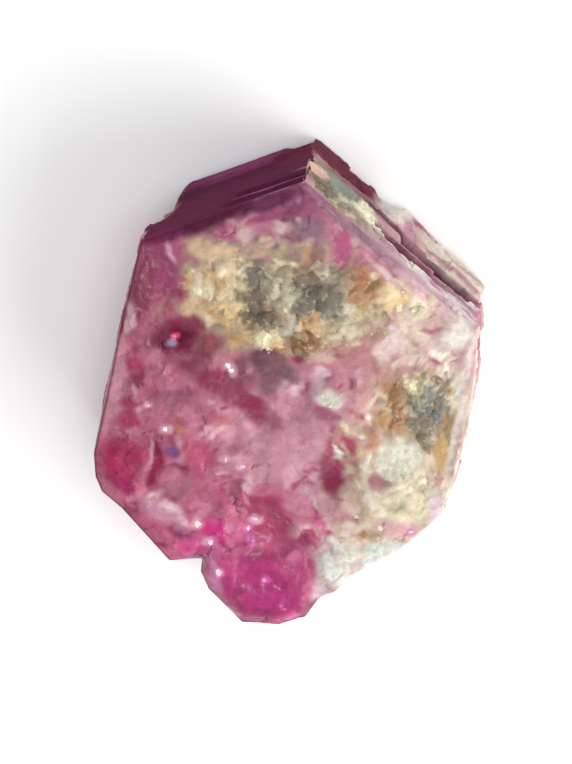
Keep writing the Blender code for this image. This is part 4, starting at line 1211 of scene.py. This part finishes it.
def grain_coat(points, share, marks, under, seed):
    """The coat of a crust: half from the large grains and half from the small ones. Each grain has one
    colour, the markings' at a place near it, so that two markings interlock grain by grain. It turns a
    little cream or brown and lighter or darker as its luck has it. Towards the edge more and more grains
    take the colour of the crystal under them."""
    _, way, luck = cells(bent(points, seed + 1), GRAIN, seed + 2)
    _, small_way, small = cells(points, SMALL_GRAIN, seed + 3)
    whole = points - way + 0.40 * (luck[:, 2:] - 0.5)
    part = points - small_way + 0.26 * (small[:, 2:] - 0.5)
    ground = ground_coat(points, ROCK_GROUND, *DRY, seed)
    coat = sum(
        0.5 * with_marks(ground, bent(places, seed, strength=0.6), marks, softness=0.40)
        for places in (whole, part)
    )
    light = smooth(0.10, 0.45, coat[:, 1])
    cream, brown = 0.40 * light * smooth(0.62, 0.95, luck[:, 0]), 0.40 * smooth(-0.34, -0.05, -luck[:, 0])
    for amount, colour in ((cream, CREAM), (brown, BROWN)):
        coat[:, :3] += (linear(colour) - coat[:, :3]) * amount[:, None]
    coat[:, :3] *= (0.74 + 0.30 * luck[:, 1] + 0.22 * small[:, 0])[:, None]
    pink = (0.9 * smooth(0.66, 1.02, share + 0.5 * (luck[:, 1] - 0.5)))[:, None]
    return coat * (1.0 - pink) + under(points) * pink


def remnant(name, node, footprint, surface, under, place, marks, seed, reach=1.12, squares=100):
    """A crust over a footprint and reach times as far. surface gives the crystal's height there and under
    its coat, and place turns points of the face's own frame into points of the crystal's. The underside
    is a foot ring at 0.98 of the footprint and a coarse grid out to 0.9 of it."""
    edge, _ = around(footprint, 4 * squares)
    middle = np.array(footprint).mean(axis=0)
    ring, turn = square_cap(squares)
    flat = middle + (round_loop(edge, turn) - middle) * ring[:, None] * reach
    cap = np.column_stack([flat, surface(flat) + crust(flat, ring * 1.02, seed)])
    cap_coat = grain_coat(flat, ring, marks, under, seed)
    low_ring, low_turn = square_cap(squares // 4)
    low_flat = middle + (round_loop(edge, low_turn) - middle) * 0.9 * low_ring[:, None]
    foot, base = (
        place(np.column_stack([flat, surface(flat) - CRUST_SINK - UNDER_SINK]))
        for flat in (middle + (edge - middle) * 0.98, low_flat)
    )
    coats = cap_coat, edge_of(cap_coat)[None], np.repeat(cap_coat.mean(axis=0)[None], len(base), axis=0)
    print(name, "top:", round(float(cap[:, 2].max()), 3))
    piece = closed_surface(name, place(cap), foot[None], base, *coats, sharp_angle=60.0)
    if place is on_ledge_face:  # the frame of this face is left-handed, which turns the surface inside out
        piece.data.flip_normals()
    show(piece)
    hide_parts(node)
    return piece


def front_surface(points):
    """The crystal's height at places of its front base, away from the rim."""
    return front_height(points, np.ones(len(points)))[0]


ledge_start, ledge_end = face_ends["top_right"]
ledge_along = (ledge_end - ledge_start) / face_length["top_right"]
ledge_out = np.array([-ledge_along[1], ledge_along[0]])


def ledge_surface(points):
    """How far the crystal stands out of its upper right face at places along it and up it."""
    shares = points[:, 0] / face_length["top_right"]
    base = ledge_start + points[:, :1] * ledge_along
    names = np.full(len(points), "top_right")
    return side_offset(base, names, shares, HEIGHT - points[:, 1])


def on_ledge_face(points):
    """From the frame of the upper right face, along, up and out, to the crystal's own frame."""
    flat = ledge_start + points[:, :1] * ledge_along + points[:, 2:] * ledge_out
    return np.column_stack([flat, points[:, 1]])


def ledge_coat(points):
    """The coat of the upper right face at places along it and up it."""
    return side_coat(points[:, 0], HEIGHT - points[:, 1], "top_right")


def as_it_is(points):
    """The front base's own frame is the crystal's."""
    return points


front, ledge = (front_surface, front_coat, as_it_is), (ledge_surface, ledge_coat, on_ledge_face)
ledge_look = LEDGE_MARKS, LEDGE_SEED, 1.35
remnants = [
    remnant("fine_rhyolite_upper", "rhyolite_upper", UPPER_FOOTPRINT, *front, UPPER_MARKS, UPPER_SEED),
    remnant("fine_rhyolite_right", "rhyolite_right", RIGHT_FOOTPRINT, *front, RIGHT_MARKS, RIGHT_SEED),
    remnant("fine_rhyolite_ledge", "rhyolite_ledge", LEDGE_FOOTPRINT, *ledge, *ledge_look),
]
for piece in remnants:
    print(piece.name, "points:", len(piece.data.vertices))

# %% [markdown]
# ## Clinging grains
#
# Between the remnants single grains of rock still cling to the crystal, most of them on the bleached side.
# Each is a small sphere of 8 by 5 facets with a wrinkled radius, sunk a little into the crystal. Instances
# of a few stones would look alike, and a grain of this size needs only 34 points to be its own. All of
# them are one piece.

# %% Grains that cling to the crystal
COLUMNS, ROWS = 8, 5  # facets round a grain and down it
STRETCH, FLATNESS = (0.6, 1.4), np.array([1.0, 1.0, 0.7])  # of a grain's three axes
WRINKLE = (0.62, 1.2)  # radius of a grain's points, in its size
GRAIN_DEPTH = 0.42  # how far a grain's middle lies below the surface, in its size
HIGHEST = 0.36  # height above the front base's plane that no grain may pass, so the part keeps its size
# middle, radii, how many, size, colour
GRAIN_FIELDS = (
    ((3.10, 2.72), (0.60, 0.35), 10, 0.17, (244, 228, 194)),
    ((2.20, 2.05), (0.70, 0.30), 12, 0.12, (212, 190, 156)),
    ((-0.36, 1.72), (0.26, 0.12), 5, 0.26, (244, 230, 190)),
    ((0.05, 1.62), (0.16, 0.08), 2, 0.20, (230, 186, 120)),
    ((0.60, 1.66), (0.26, 0.08), 3, 0.24, (134, 96, 56)),
    ((0.80, 2.08), (0.22, 0.12), 3, 0.22, (224, 186, 132)),
    ((1.18, 0.25), (0.26, 0.18), 9, 0.12, (220, 216, 200)),
    ((3.00, -1.60), (1.00, 1.20), 9, 0.11, (230, 222, 200)),
    ((2.20, -3.20), (1.10, 0.50), 7, 0.11, (232, 212, 200)),
)


def sphere():
    """A unit sphere: its top, rings clockwise seen from above, and its foot, and its faces."""
    turns = -2.0 * np.pi * np.arange(COLUMNS) / COLUMNS
    tilts = np.pi * np.arange(1, ROWS) / ROWS
    rings = [
        (math.sin(tilt) * math.cos(turn), math.sin(tilt) * math.sin(turn), math.cos(tilt))
        for tilt in tilts for turn in turns
    ]
    points = np.array([(0.0, 0.0, 1.0), *rings, (0.0, 0.0, -1.0)])
    index = 1 + np.arange(len(rings)).reshape(ROWS - 1, COLUMNS)
    faces = ring_quads(index).tolist()
    faces += [(0, after, here) for here, after in zip(index[0], np.roll(index[0], -1))]
    faces += [(here, after, len(points) - 1) for here, after in zip(index[-1], np.roll(index[-1], -1))]
    return points, faces


def scattered(centres, sizes, colours, name, slot, sharp_angle, seed):
    """One piece of many small grains: the sphere's points times a wrinkled radius, at each centre."""
    body, faces = sphere()
    random = np.random.default_rng(seed)
    stretch = random.uniform(*STRETCH, (len(centres), 1, 3)) * FLATNESS
    wrinkle = random.uniform(*WRINKLE, (len(centres), len(body), 1))
    points = centres[:, None] + body[None] * stretch * wrinkle * sizes[:, None, None]
    coat = np.column_stack([colours, np.zeros(len(colours)), np.full(len(colours), 0.8)])
    coat = np.repeat(coat, len(body), axis=0)
    firsts = len(body) * np.arange(len(centres))
    every = [tuple(int(first + corner) for corner in face) for first in firsts for face in faces]
    piece = mesh_of(name, points.reshape(-1, 3), every, coat, sharp_angle)
    show(piece)
    print(name, "top:", round(float(points[..., 2].max()), 3))
    return piece


random = np.random.default_rng(7)
centres, sizes, colours = [], [], []
for middle, radii, count, size, colour in GRAIN_FIELDS:
    turn, reach = random.uniform(0.0, 2.0 * np.pi, count), np.sqrt(random.uniform(0.0, 1.0, count))
    flat = np.column_stack([np.cos(turn), np.sin(turn)]) * reach[:, None] * np.array(radii) + np.array(middle)
    scale = size * random.uniform(0.45, 1.3, count)
    height = np.minimum(front_surface(flat) - GRAIN_DEPTH * scale, HEIGHT + HIGHEST - WRINKLE[1] * scale)
    centres.append(np.column_stack([flat, height]))
    sizes.append(scale)
    colours.append(linear(colour) * random.uniform(0.72, 1.1, (count, 1)))
centres, sizes, colours = map(np.concatenate, (centres, sizes, colours))
grains_piece = scattered(centres, sizes, colours, "clinging_grains", "rhyolite", sharp_angle=40.0, seed=8)
print("grains:", len(centres))

# %% [markdown]
# ## Bright chips
#
# Where the crystal has splintered, a few tiny clear chips catch the light. They are made as the grains are,
# but each has its own place and colour, hardly sinks in, and keeps nearly every edge sharp, so that single
# facets flash. Their near-white colours add a painted highlight, which stays when the light moves.

# %% Bright chips
CHIP_DEPTH = 0.1  # how far a chip's middle lies below the surface, in its size
chip_places, chip_sizes, chip_colours = (np.array(column) for column in list(zip(*CHIPS))[1:])
chip_centres = np.column_stack([chip_places, front_surface(chip_places) - CHIP_DEPTH * chip_sizes])
chip_looks = linear(chip_colours), "bright_chips", "red_beryl"
chips = scattered(chip_centres, chip_sizes, *chip_looks, sharp_angle=10.0, seed=9)
print("chips:", len(CHIPS))

# %% [markdown]
# ## Writing a material
#
# A material is a graph of nodes, but it reads better as a sum. `Wire` wraps an output socket and overloads
# the operators, so `1 - mask` or `0.8 * noise + 0.2` adds the Math nodes for it. `Graph.add` makes every
# other node from its type, its settings and its inputs, and the methods after it name the usual ones. The
# same could be drawn by hand in the shader editor, where it takes a screen of wires.


# %% Shader helpers
class Wire:
    """A value on its way through a material."""

    def __init__(self, graph, socket):
        self.graph, self.socket = graph, socket

    def _maths(self, operation, first, second):
        """The Math node of an operation."""
        return self.graph.add("ShaderNodeMath", {"operation": operation}, {0: first, 1: second})

    def __add__(self, other):
        return self._maths("ADD", self, other)

    def __mul__(self, other):
        return self._maths("MULTIPLY", self, other)

    def __rsub__(self, other):
        return self._maths("SUBTRACT", other, self)

    __radd__, __rmul__ = __add__, __mul__


class Graph:
    """The nodes of one material."""

    def __init__(self, name):
        self.material = bpy.data.materials.new(name)
        self.material.use_nodes = True
        self.tree = self.material.node_tree
        self.tree.nodes.clear()

    def add(self, kind, settings=(), inputs=(), output=0):
        """A node: its type, its settings, set first, and the values or wires of its inputs."""
        node = self.tree.nodes.new(kind)
        for name, value in dict(settings).items():
            setattr(node, name, value)
        for name, value in dict(inputs).items():
            if isinstance(value, Wire):
                self.tree.links.new(value.socket, node.inputs[name])
            else:
                node.inputs[name].default_value = value
        return Wire(self, node.outputs[output]) if node.outputs else node

    def range(self, value, low, high, to_low=0.0, to_high=1.0):
        """value from low to high, smoothly, as a number from to_low to to_high."""
        ends = {"Value": value, "From Min": low, "From Max": high, "To Min": to_low, "To Max": to_high}
        return self.add("ShaderNodeMapRange", {"interpolation_type": "SMOOTHSTEP"}, ends)

    def mix(self, factor, first, second, how="MIX"):
        """Two colours mixed, multiplied or screened."""
        ends = {0: factor, 6: first, 7: second}
        return self.add("ShaderNodeMix", {"data_type": "RGBA", "blend_type": how}, ends, output=2)

    def noise(self, place, size, detail=3.0, roughness=0.55):
        """Noise from 0 to 1 whose largest features are size millimetres."""
        inputs = {"Vector": place, "Scale": 1.0 / (size * MM), "Detail": detail, "Roughness": roughness}
        return self.add("ShaderNodeTexNoise", {}, inputs)

    def voronoi(self, place, size):
        """Cells size millimetres across: the distance from the nearest seed, in cells."""
        return self.add("ShaderNodeTexVoronoi", {}, {"Vector": place, "Scale": 1.0 / (size * MM)})

    def place(self):
        """Where a point lies on its piece, in metres."""
        return self.add("ShaderNodeTexCoord", output="Object")

    def attribute(self, name):
        """A colour attribute of the mesh."""
        return self.add("ShaderNodeAttribute", {"attribute_name": name})

    def parts(self, colour):
        """The three channels of a colour, as wires."""
        node = self.add("ShaderNodeSeparateColor", {}, {"Color": colour}).socket.node
        return [Wire(self, output) for output in node.outputs]

    def shaded(self, colour, share):
        """A colour times a number."""
        grey = self.add("ShaderNodeCombineColor", {}, {channel: share for channel in (0, 1, 2)})
        return self.mix(1.0, colour, grey, "MULTIPLY")

    def bump(self, height, distance, strength=1.0):
        """A normal from a height whose unit is distance millimetres."""
        inputs = {"Height": height, "Distance": distance * MM, "Strength": strength}
        return self.add("ShaderNodeBump", {}, inputs)

    def principled(self, inputs):
        """The shader that covers most finishes."""
        return self.add("ShaderNodeBsdfPrincipled", {}, inputs)

    def blend(self, factor, first, second):
        """Two shaders mixed."""
        return self.add("ShaderNodeMixShader", {}, {0: factor, 1: first, 2: second})

    def surface(self, shader, volume=None):
        """Ends the material."""
        inputs = {"Surface": shader} if volume is None else {"Surface": shader, "Volume": volume}
        self.add("ShaderNodeOutputMaterial", {}, inputs)
        return self.material


def colour_of(*values):
    """A colour out of 255 for a node's socket."""
    return (*linear(values), 1.0)


print("helpers:", *(name for name in vars(Graph) if not name.startswith("_")))

# %% [markdown]
# ## The finish of the crystal
#
# Cloudy beryl scatters light just under its surface, and clear beryl lets it through and swallows the green
# and blue on the way. One shader can't be both, so the two are mixed by the clearness of the coat. The
# clear one is plain transmission at beryl's refractive index of 1.57, with an absorption that leaves a
# raspberry red after 5 mm.
#
# The coat ends at the mesh's own points, about 0.05 mm apart. Everything finer comes from noise in the
# shader: darker pockets, milky wisps, rusty stains in the bleached parts, and specks all over.

# %% Red beryl
BERYL_IOR = 1.57
ABSORPTION = {"Color": (0.955, 0.02, 0.70, 1.0), "Density": 900.0}
# How coarse the noise is that bends the pockets and stains, as waves a metre, and how far it bends, in metres
BEND_SCALE, BEND_REACH = 1400.0, 0.0004
POCKET_TINT, GLASS_TINT = (0.62, 0.34, 0.44, 1.0), (1.0, 0.80, 0.90, 1.0)
SUBSURFACE = {
    "Subsurface Weight": 0.25, "Subsurface Radius": (1.0, 0.25, 0.45), "Subsurface Scale": 0.40 * MM,
}


def beryl_colour(graph, place, clear, matt, speck):
    """The coat's colour with everything that is too fine for the mesh's points."""
    inputs = {"Vector": place, "Scale": BEND_SCALE, "Detail": 2.0}
    bend = graph.add("ShaderNodeTexNoise", {}, inputs, output="Color")
    bend = graph.add("ShaderNodeVectorMath", {"operation": "MULTIPLY"}, {0: bend, 1: (BEND_REACH,) * 3})
    bent_place = graph.add("ShaderNodeVectorMath", {"operation": "ADD"}, {0: place, 1: bend})
    colour = graph.attribute("tint")
    # darker pockets, except in matt parts
    pocket = graph.range(graph.noise(bent_place, 0.42), 0.54, 0.66) * (1.0 - matt) * 0.30
    colour = graph.mix(pocket, colour, graph.mix(1.0, colour, POCKET_TINT, "MULTIPLY"))
    # milky wisps, except in clear parts and where it is dark
    pale = graph.range(graph.parts(colour)[0], 0.10, 0.45)
    wisp = graph.range(graph.noise(place, 0.50, detail=6.0, roughness=0.66), 0.52, 0.70)
    wisp = wisp * (1.0 - clear) * (1.0 - 0.7 * matt) * pale * 0.34
    colour = graph.mix(wisp, colour, graph.mix(0.45, colour, colour_of(236, 206, 212)))
    # rusty stains in matt parts
    stain = graph.range(graph.noise(bent_place, 0.30, detail=4.0), 0.50, 0.70) * matt * 0.40
    colour = graph.mix(stain, colour, colour_of(200, 166, 130))
    return graph.shaded(colour, speck * 0.30 + 0.68)


def beryl():
    """The crystal's material: dull where it is cloudy or bleached, glossy or glassy where it is clear."""
    graph = Graph("red_beryl")
    place = graph.place()
    clear, matt, _ = graph.parts(graph.attribute("finish"))
    speck = graph.noise(place, 0.085, detail=4.0, roughness=0.65)
    colour = beryl_colour(graph, place, clear, matt, speck)
    shine = graph.range(clear, 0.02, 0.45) * (1.0 - matt)
    normal = graph.bump(speck * 0.6 + graph.voronoi(place, 0.10) * (0.3 + 0.5 * matt), 0.030, strength=0.5)
    skin = {"Base Color": colour, "Normal": normal, **SUBSURFACE}
    dull = graph.principled({**skin, "Roughness": 0.80 + 0.1 * speck, "Specular IOR Level": 0.0})
    bright = graph.principled({
        **skin,
        "Roughness": 0.26 + 0.2 * speck,
        "IOR": BERYL_IOR,
        "Coat Weight": shine * 0.4,
        "Coat Roughness": 0.10,
    })
    glassy = graph.principled({
        "Base Color": graph.mix(0.30, colour, GLASS_TINT),
        "Roughness": 0.14 + 0.14 * speck,
        "IOR": BERYL_IOR,
        "Transmission Weight": 1.0,
        "Normal": graph.bump(speck, 0.020, strength=0.1),
    })
    shader = graph.blend(0.08 + 0.72 * shine, dull, bright)
    shader = graph.blend(graph.range(clear, 0.1, 1.0) * 0.45, shader, glassy)
    return graph.surface(shader, graph.add("ShaderNodeVolumeAbsorption", {}, ABSORPTION))


crystal.data.materials.append(beryl())
print("crystal finish:", crystal.data.materials[0].name)

# %% [markdown]
# ## The finish of the rock and the chips
#
# Rhyolite is fine-grained and dry: no gloss, a little colour change from grain to grain, which is in the
# coat already, and dark and pale mineral specks far smaller than the grains. A picture of rock could be
# laid on it, but its grains wouldn't meet those of the mesh. A chip is the opposite: nearly one colour, and
# so smooth that it mirrors the light.


# %% Rhyolite and chips
def rhyolite():
    """Rock: the coat's colour with pale and dark minerals and fine specks, rough all over."""
    graph = Graph("rhyolite")
    place = graph.place()
    speck = graph.noise(place, 0.07, detail=5.0, roughness=0.7)
    pale = graph.range(graph.noise(place, 0.16, detail=4.0, roughness=0.6), 0.55, 0.72) * 0.45
    colour = graph.mix(pale, graph.attribute("tint"), colour_of(236, 224, 196))
    dark = graph.range(graph.noise(place, 0.13, detail=3.0, roughness=0.6), 0.36, 0.24, 0.0, 0.55)
    colour = graph.shaded(graph.mix(dark, colour, colour_of(86, 72, 62)), speck * 0.45 + 0.66)
    return graph.surface(graph.principled({
        "Base Color": colour,
        "Roughness": 0.72 + 0.2 * speck,
        "Normal": graph.bump(speck, 0.035, strength=0.7),
    }))


def chip_finish():
    """A splinter of clear beryl: its near-white colour, partly a painted highlight, under a smooth coat."""
    graph = Graph("bright_chip")
    place = graph.place()
    milk = graph.noise(place, 0.05, detail=2.0) * 0.3
    return graph.surface(graph.principled({
        "Base Color": graph.mix(milk, graph.attribute("tint"), colour_of(255, 236, 246)),
        "Roughness": 0.08 + 0.05 * graph.noise(place, 0.04),
        "IOR": BERYL_IOR,
        "Coat Weight": 1.0,
        "Coat Roughness": 0.03,
    }))


rock = rhyolite()
for piece in [*remnants, grains_piece]:
    piece.data.materials.append(rock)
chips.data.materials.append(chip_finish())
print("rock and chip finishes:", rock.name, chips.data.materials[0].name)

# %% [markdown]
# ## The floor
#
# A pale matt sheet carries the crystal, wide enough to reach beyond the picture on every side. It lies a
# trace below the resting face, so the two never share a plane. A curved backdrop would hide a horizon, but
# the camera looks down and sees none.


# %% Floor
FLOOR_HALF, FLOOR_STEPS, FLOOR_GAP = 600.0, 24, 0.02
line = np.linspace(-FLOOR_HALF, FLOOR_HALF, FLOOR_STEPS + 1)
x, y = np.meshgrid(line, line)
floor_points = np.column_stack([x.ravel(), y.ravel(), np.full(x.size, -FLOOR_GAP)]) * MM
floor_mesh = bpy.data.meshes.new("floor")
floor_mesh.from_pydata(floor_points.tolist(), [], grid_parts(x.size)[0].tolist())
floor = bpy.data.objects.new("floor", floor_mesh)
link(floor)
paper = Graph("pale_floor")
paper_colour = paper.mix(paper.noise(paper.place(), 40.0), (0.95, 0.95, 0.95, 1.0), (0.97, 0.97, 0.975, 1.0))
floor.data.materials.append(paper.surface(paper.principled({"Base Color": paper_colour, "Roughness": 0.9})))
floor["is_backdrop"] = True
print("floor:", 2 * FLOOR_HALF, "mm wide")

# %% [markdown]
# ## Light
#
# A stone like this is best seen in soft light from one side, which shades its pits and lets its clear parts
# glow. A broad key light stands low on the right, so the upper left faces fall in shade. A smaller one
# above and a weak cool one at the lower left open the shadows, and a near-white surround fills them.

# %% Light
LIGHTS = (
    # name, direction from the crystal, distance, size, watts, colour
    ("key", (0.75, -0.42, 0.62), 260.0, 260.0, 0.60, (1.0, 0.985, 0.96)),
    ("top", (0.10, 0.15, 1.00), 320.0, 120.0, 0.22, (1.0, 1.0, 1.0)),
    ("low_left", (-0.80, -0.35, 0.40), 300.0, 90.0, 0.10, (0.96, 0.97, 1.0)),
)
SURROUND = {"Color": (0.98, 0.99, 1.0, 1.0), "Strength": 0.62}

for name, direction, distance, size, watts, colour in LIGHTS:
    light = bpy.data.lights.new(name, "AREA")
    light.shape, light.size, light.energy, light.color = "DISK", size * MM, watts, colour
    lamp = bpy.data.objects.new(name, light)
    way = Vector(direction).normalized()
    lamp.location = way * distance * MM
    lamp.rotation_euler = way.to_track_quat("Z", "Y").to_euler()
    link(lamp)

world = bpy.data.worlds.new("surround")
world.use_nodes = True
for name, value in SURROUND.items():
    world.node_tree.nodes["Background"].inputs[name].default_value = value
bpy.context.scene.world = world
bpy.context.scene.view_settings.view_transform = "Standard"
print("lights:", *(name for name, *_ in LIGHTS))

# %% [markdown]
# ## Camera
#
# The camera looks down on the front base from 15 degrees off the c-axis, on the apex's side, and is turned
# 12 degrees round it. A long lens from 15 cm away keeps the prism faces nearly parallel, as in a picture of
# a small mineral. Its axes are built from the two angles, so the picture stays upright however it tilts.

# %% Camera
CAMERA_TILT, CAMERA_TURN = math.radians(15.0), math.radians(12.0)
CAMERA_DISTANCE = 150.0
SENSOR = 36.0  # width of the sensor, and what the picture's longer side is measured on
FRAME_HEIGHT = 19.14  # what the picture's height takes in at that distance
LOOK_AT = Vector((0.045, 0.585, HEIGHT))

camera_data = bpy.data.cameras.new("camera")
camera_data.sensor_width = SENSOR
camera_data.lens = SENSOR * CAMERA_DISTANCE / FRAME_HEIGHT
camera_data.clip_start = 1.0 * MM
camera = bpy.data.objects.new("camera", camera_data)
back = Vector((
    math.sin(CAMERA_TILT) * math.sin(CAMERA_TURN),
    math.sin(CAMERA_TILT) * math.cos(CAMERA_TURN),
    math.cos(CAMERA_TILT),
))
right = Vector((0.0, 1.0, 0.0)).cross(back).normalized()
up = back.cross(right)
camera.location = (LOOK_AT + back * CAMERA_DISTANCE) * MM
camera.rotation_euler = Matrix((right, up, back)).transposed().to_euler()
link(camera)
bpy.context.scene.camera = camera
print("lens:", round(camera_data.lens, 1), "mm")

# %% [markdown]
# ## Size and finish
#
# At last the size of the dressed part is measured and kept beside that of the bare solids. The fine
# surfaces may stand out of the solids by a few hundredths of a millimetre, but no more.

# %% Size and finish
visual_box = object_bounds()
sizes = {
    "cad": [list(map(float, corner)) for corner in cad_box],
    "visual": [list(map(float, corner)) for corner in visual_box],
}
print("solid:", np.round(np.array(cad_box) / MM, 2).tolist())
print("fine:", np.round(np.array(visual_box) / MM, 2).tolist())
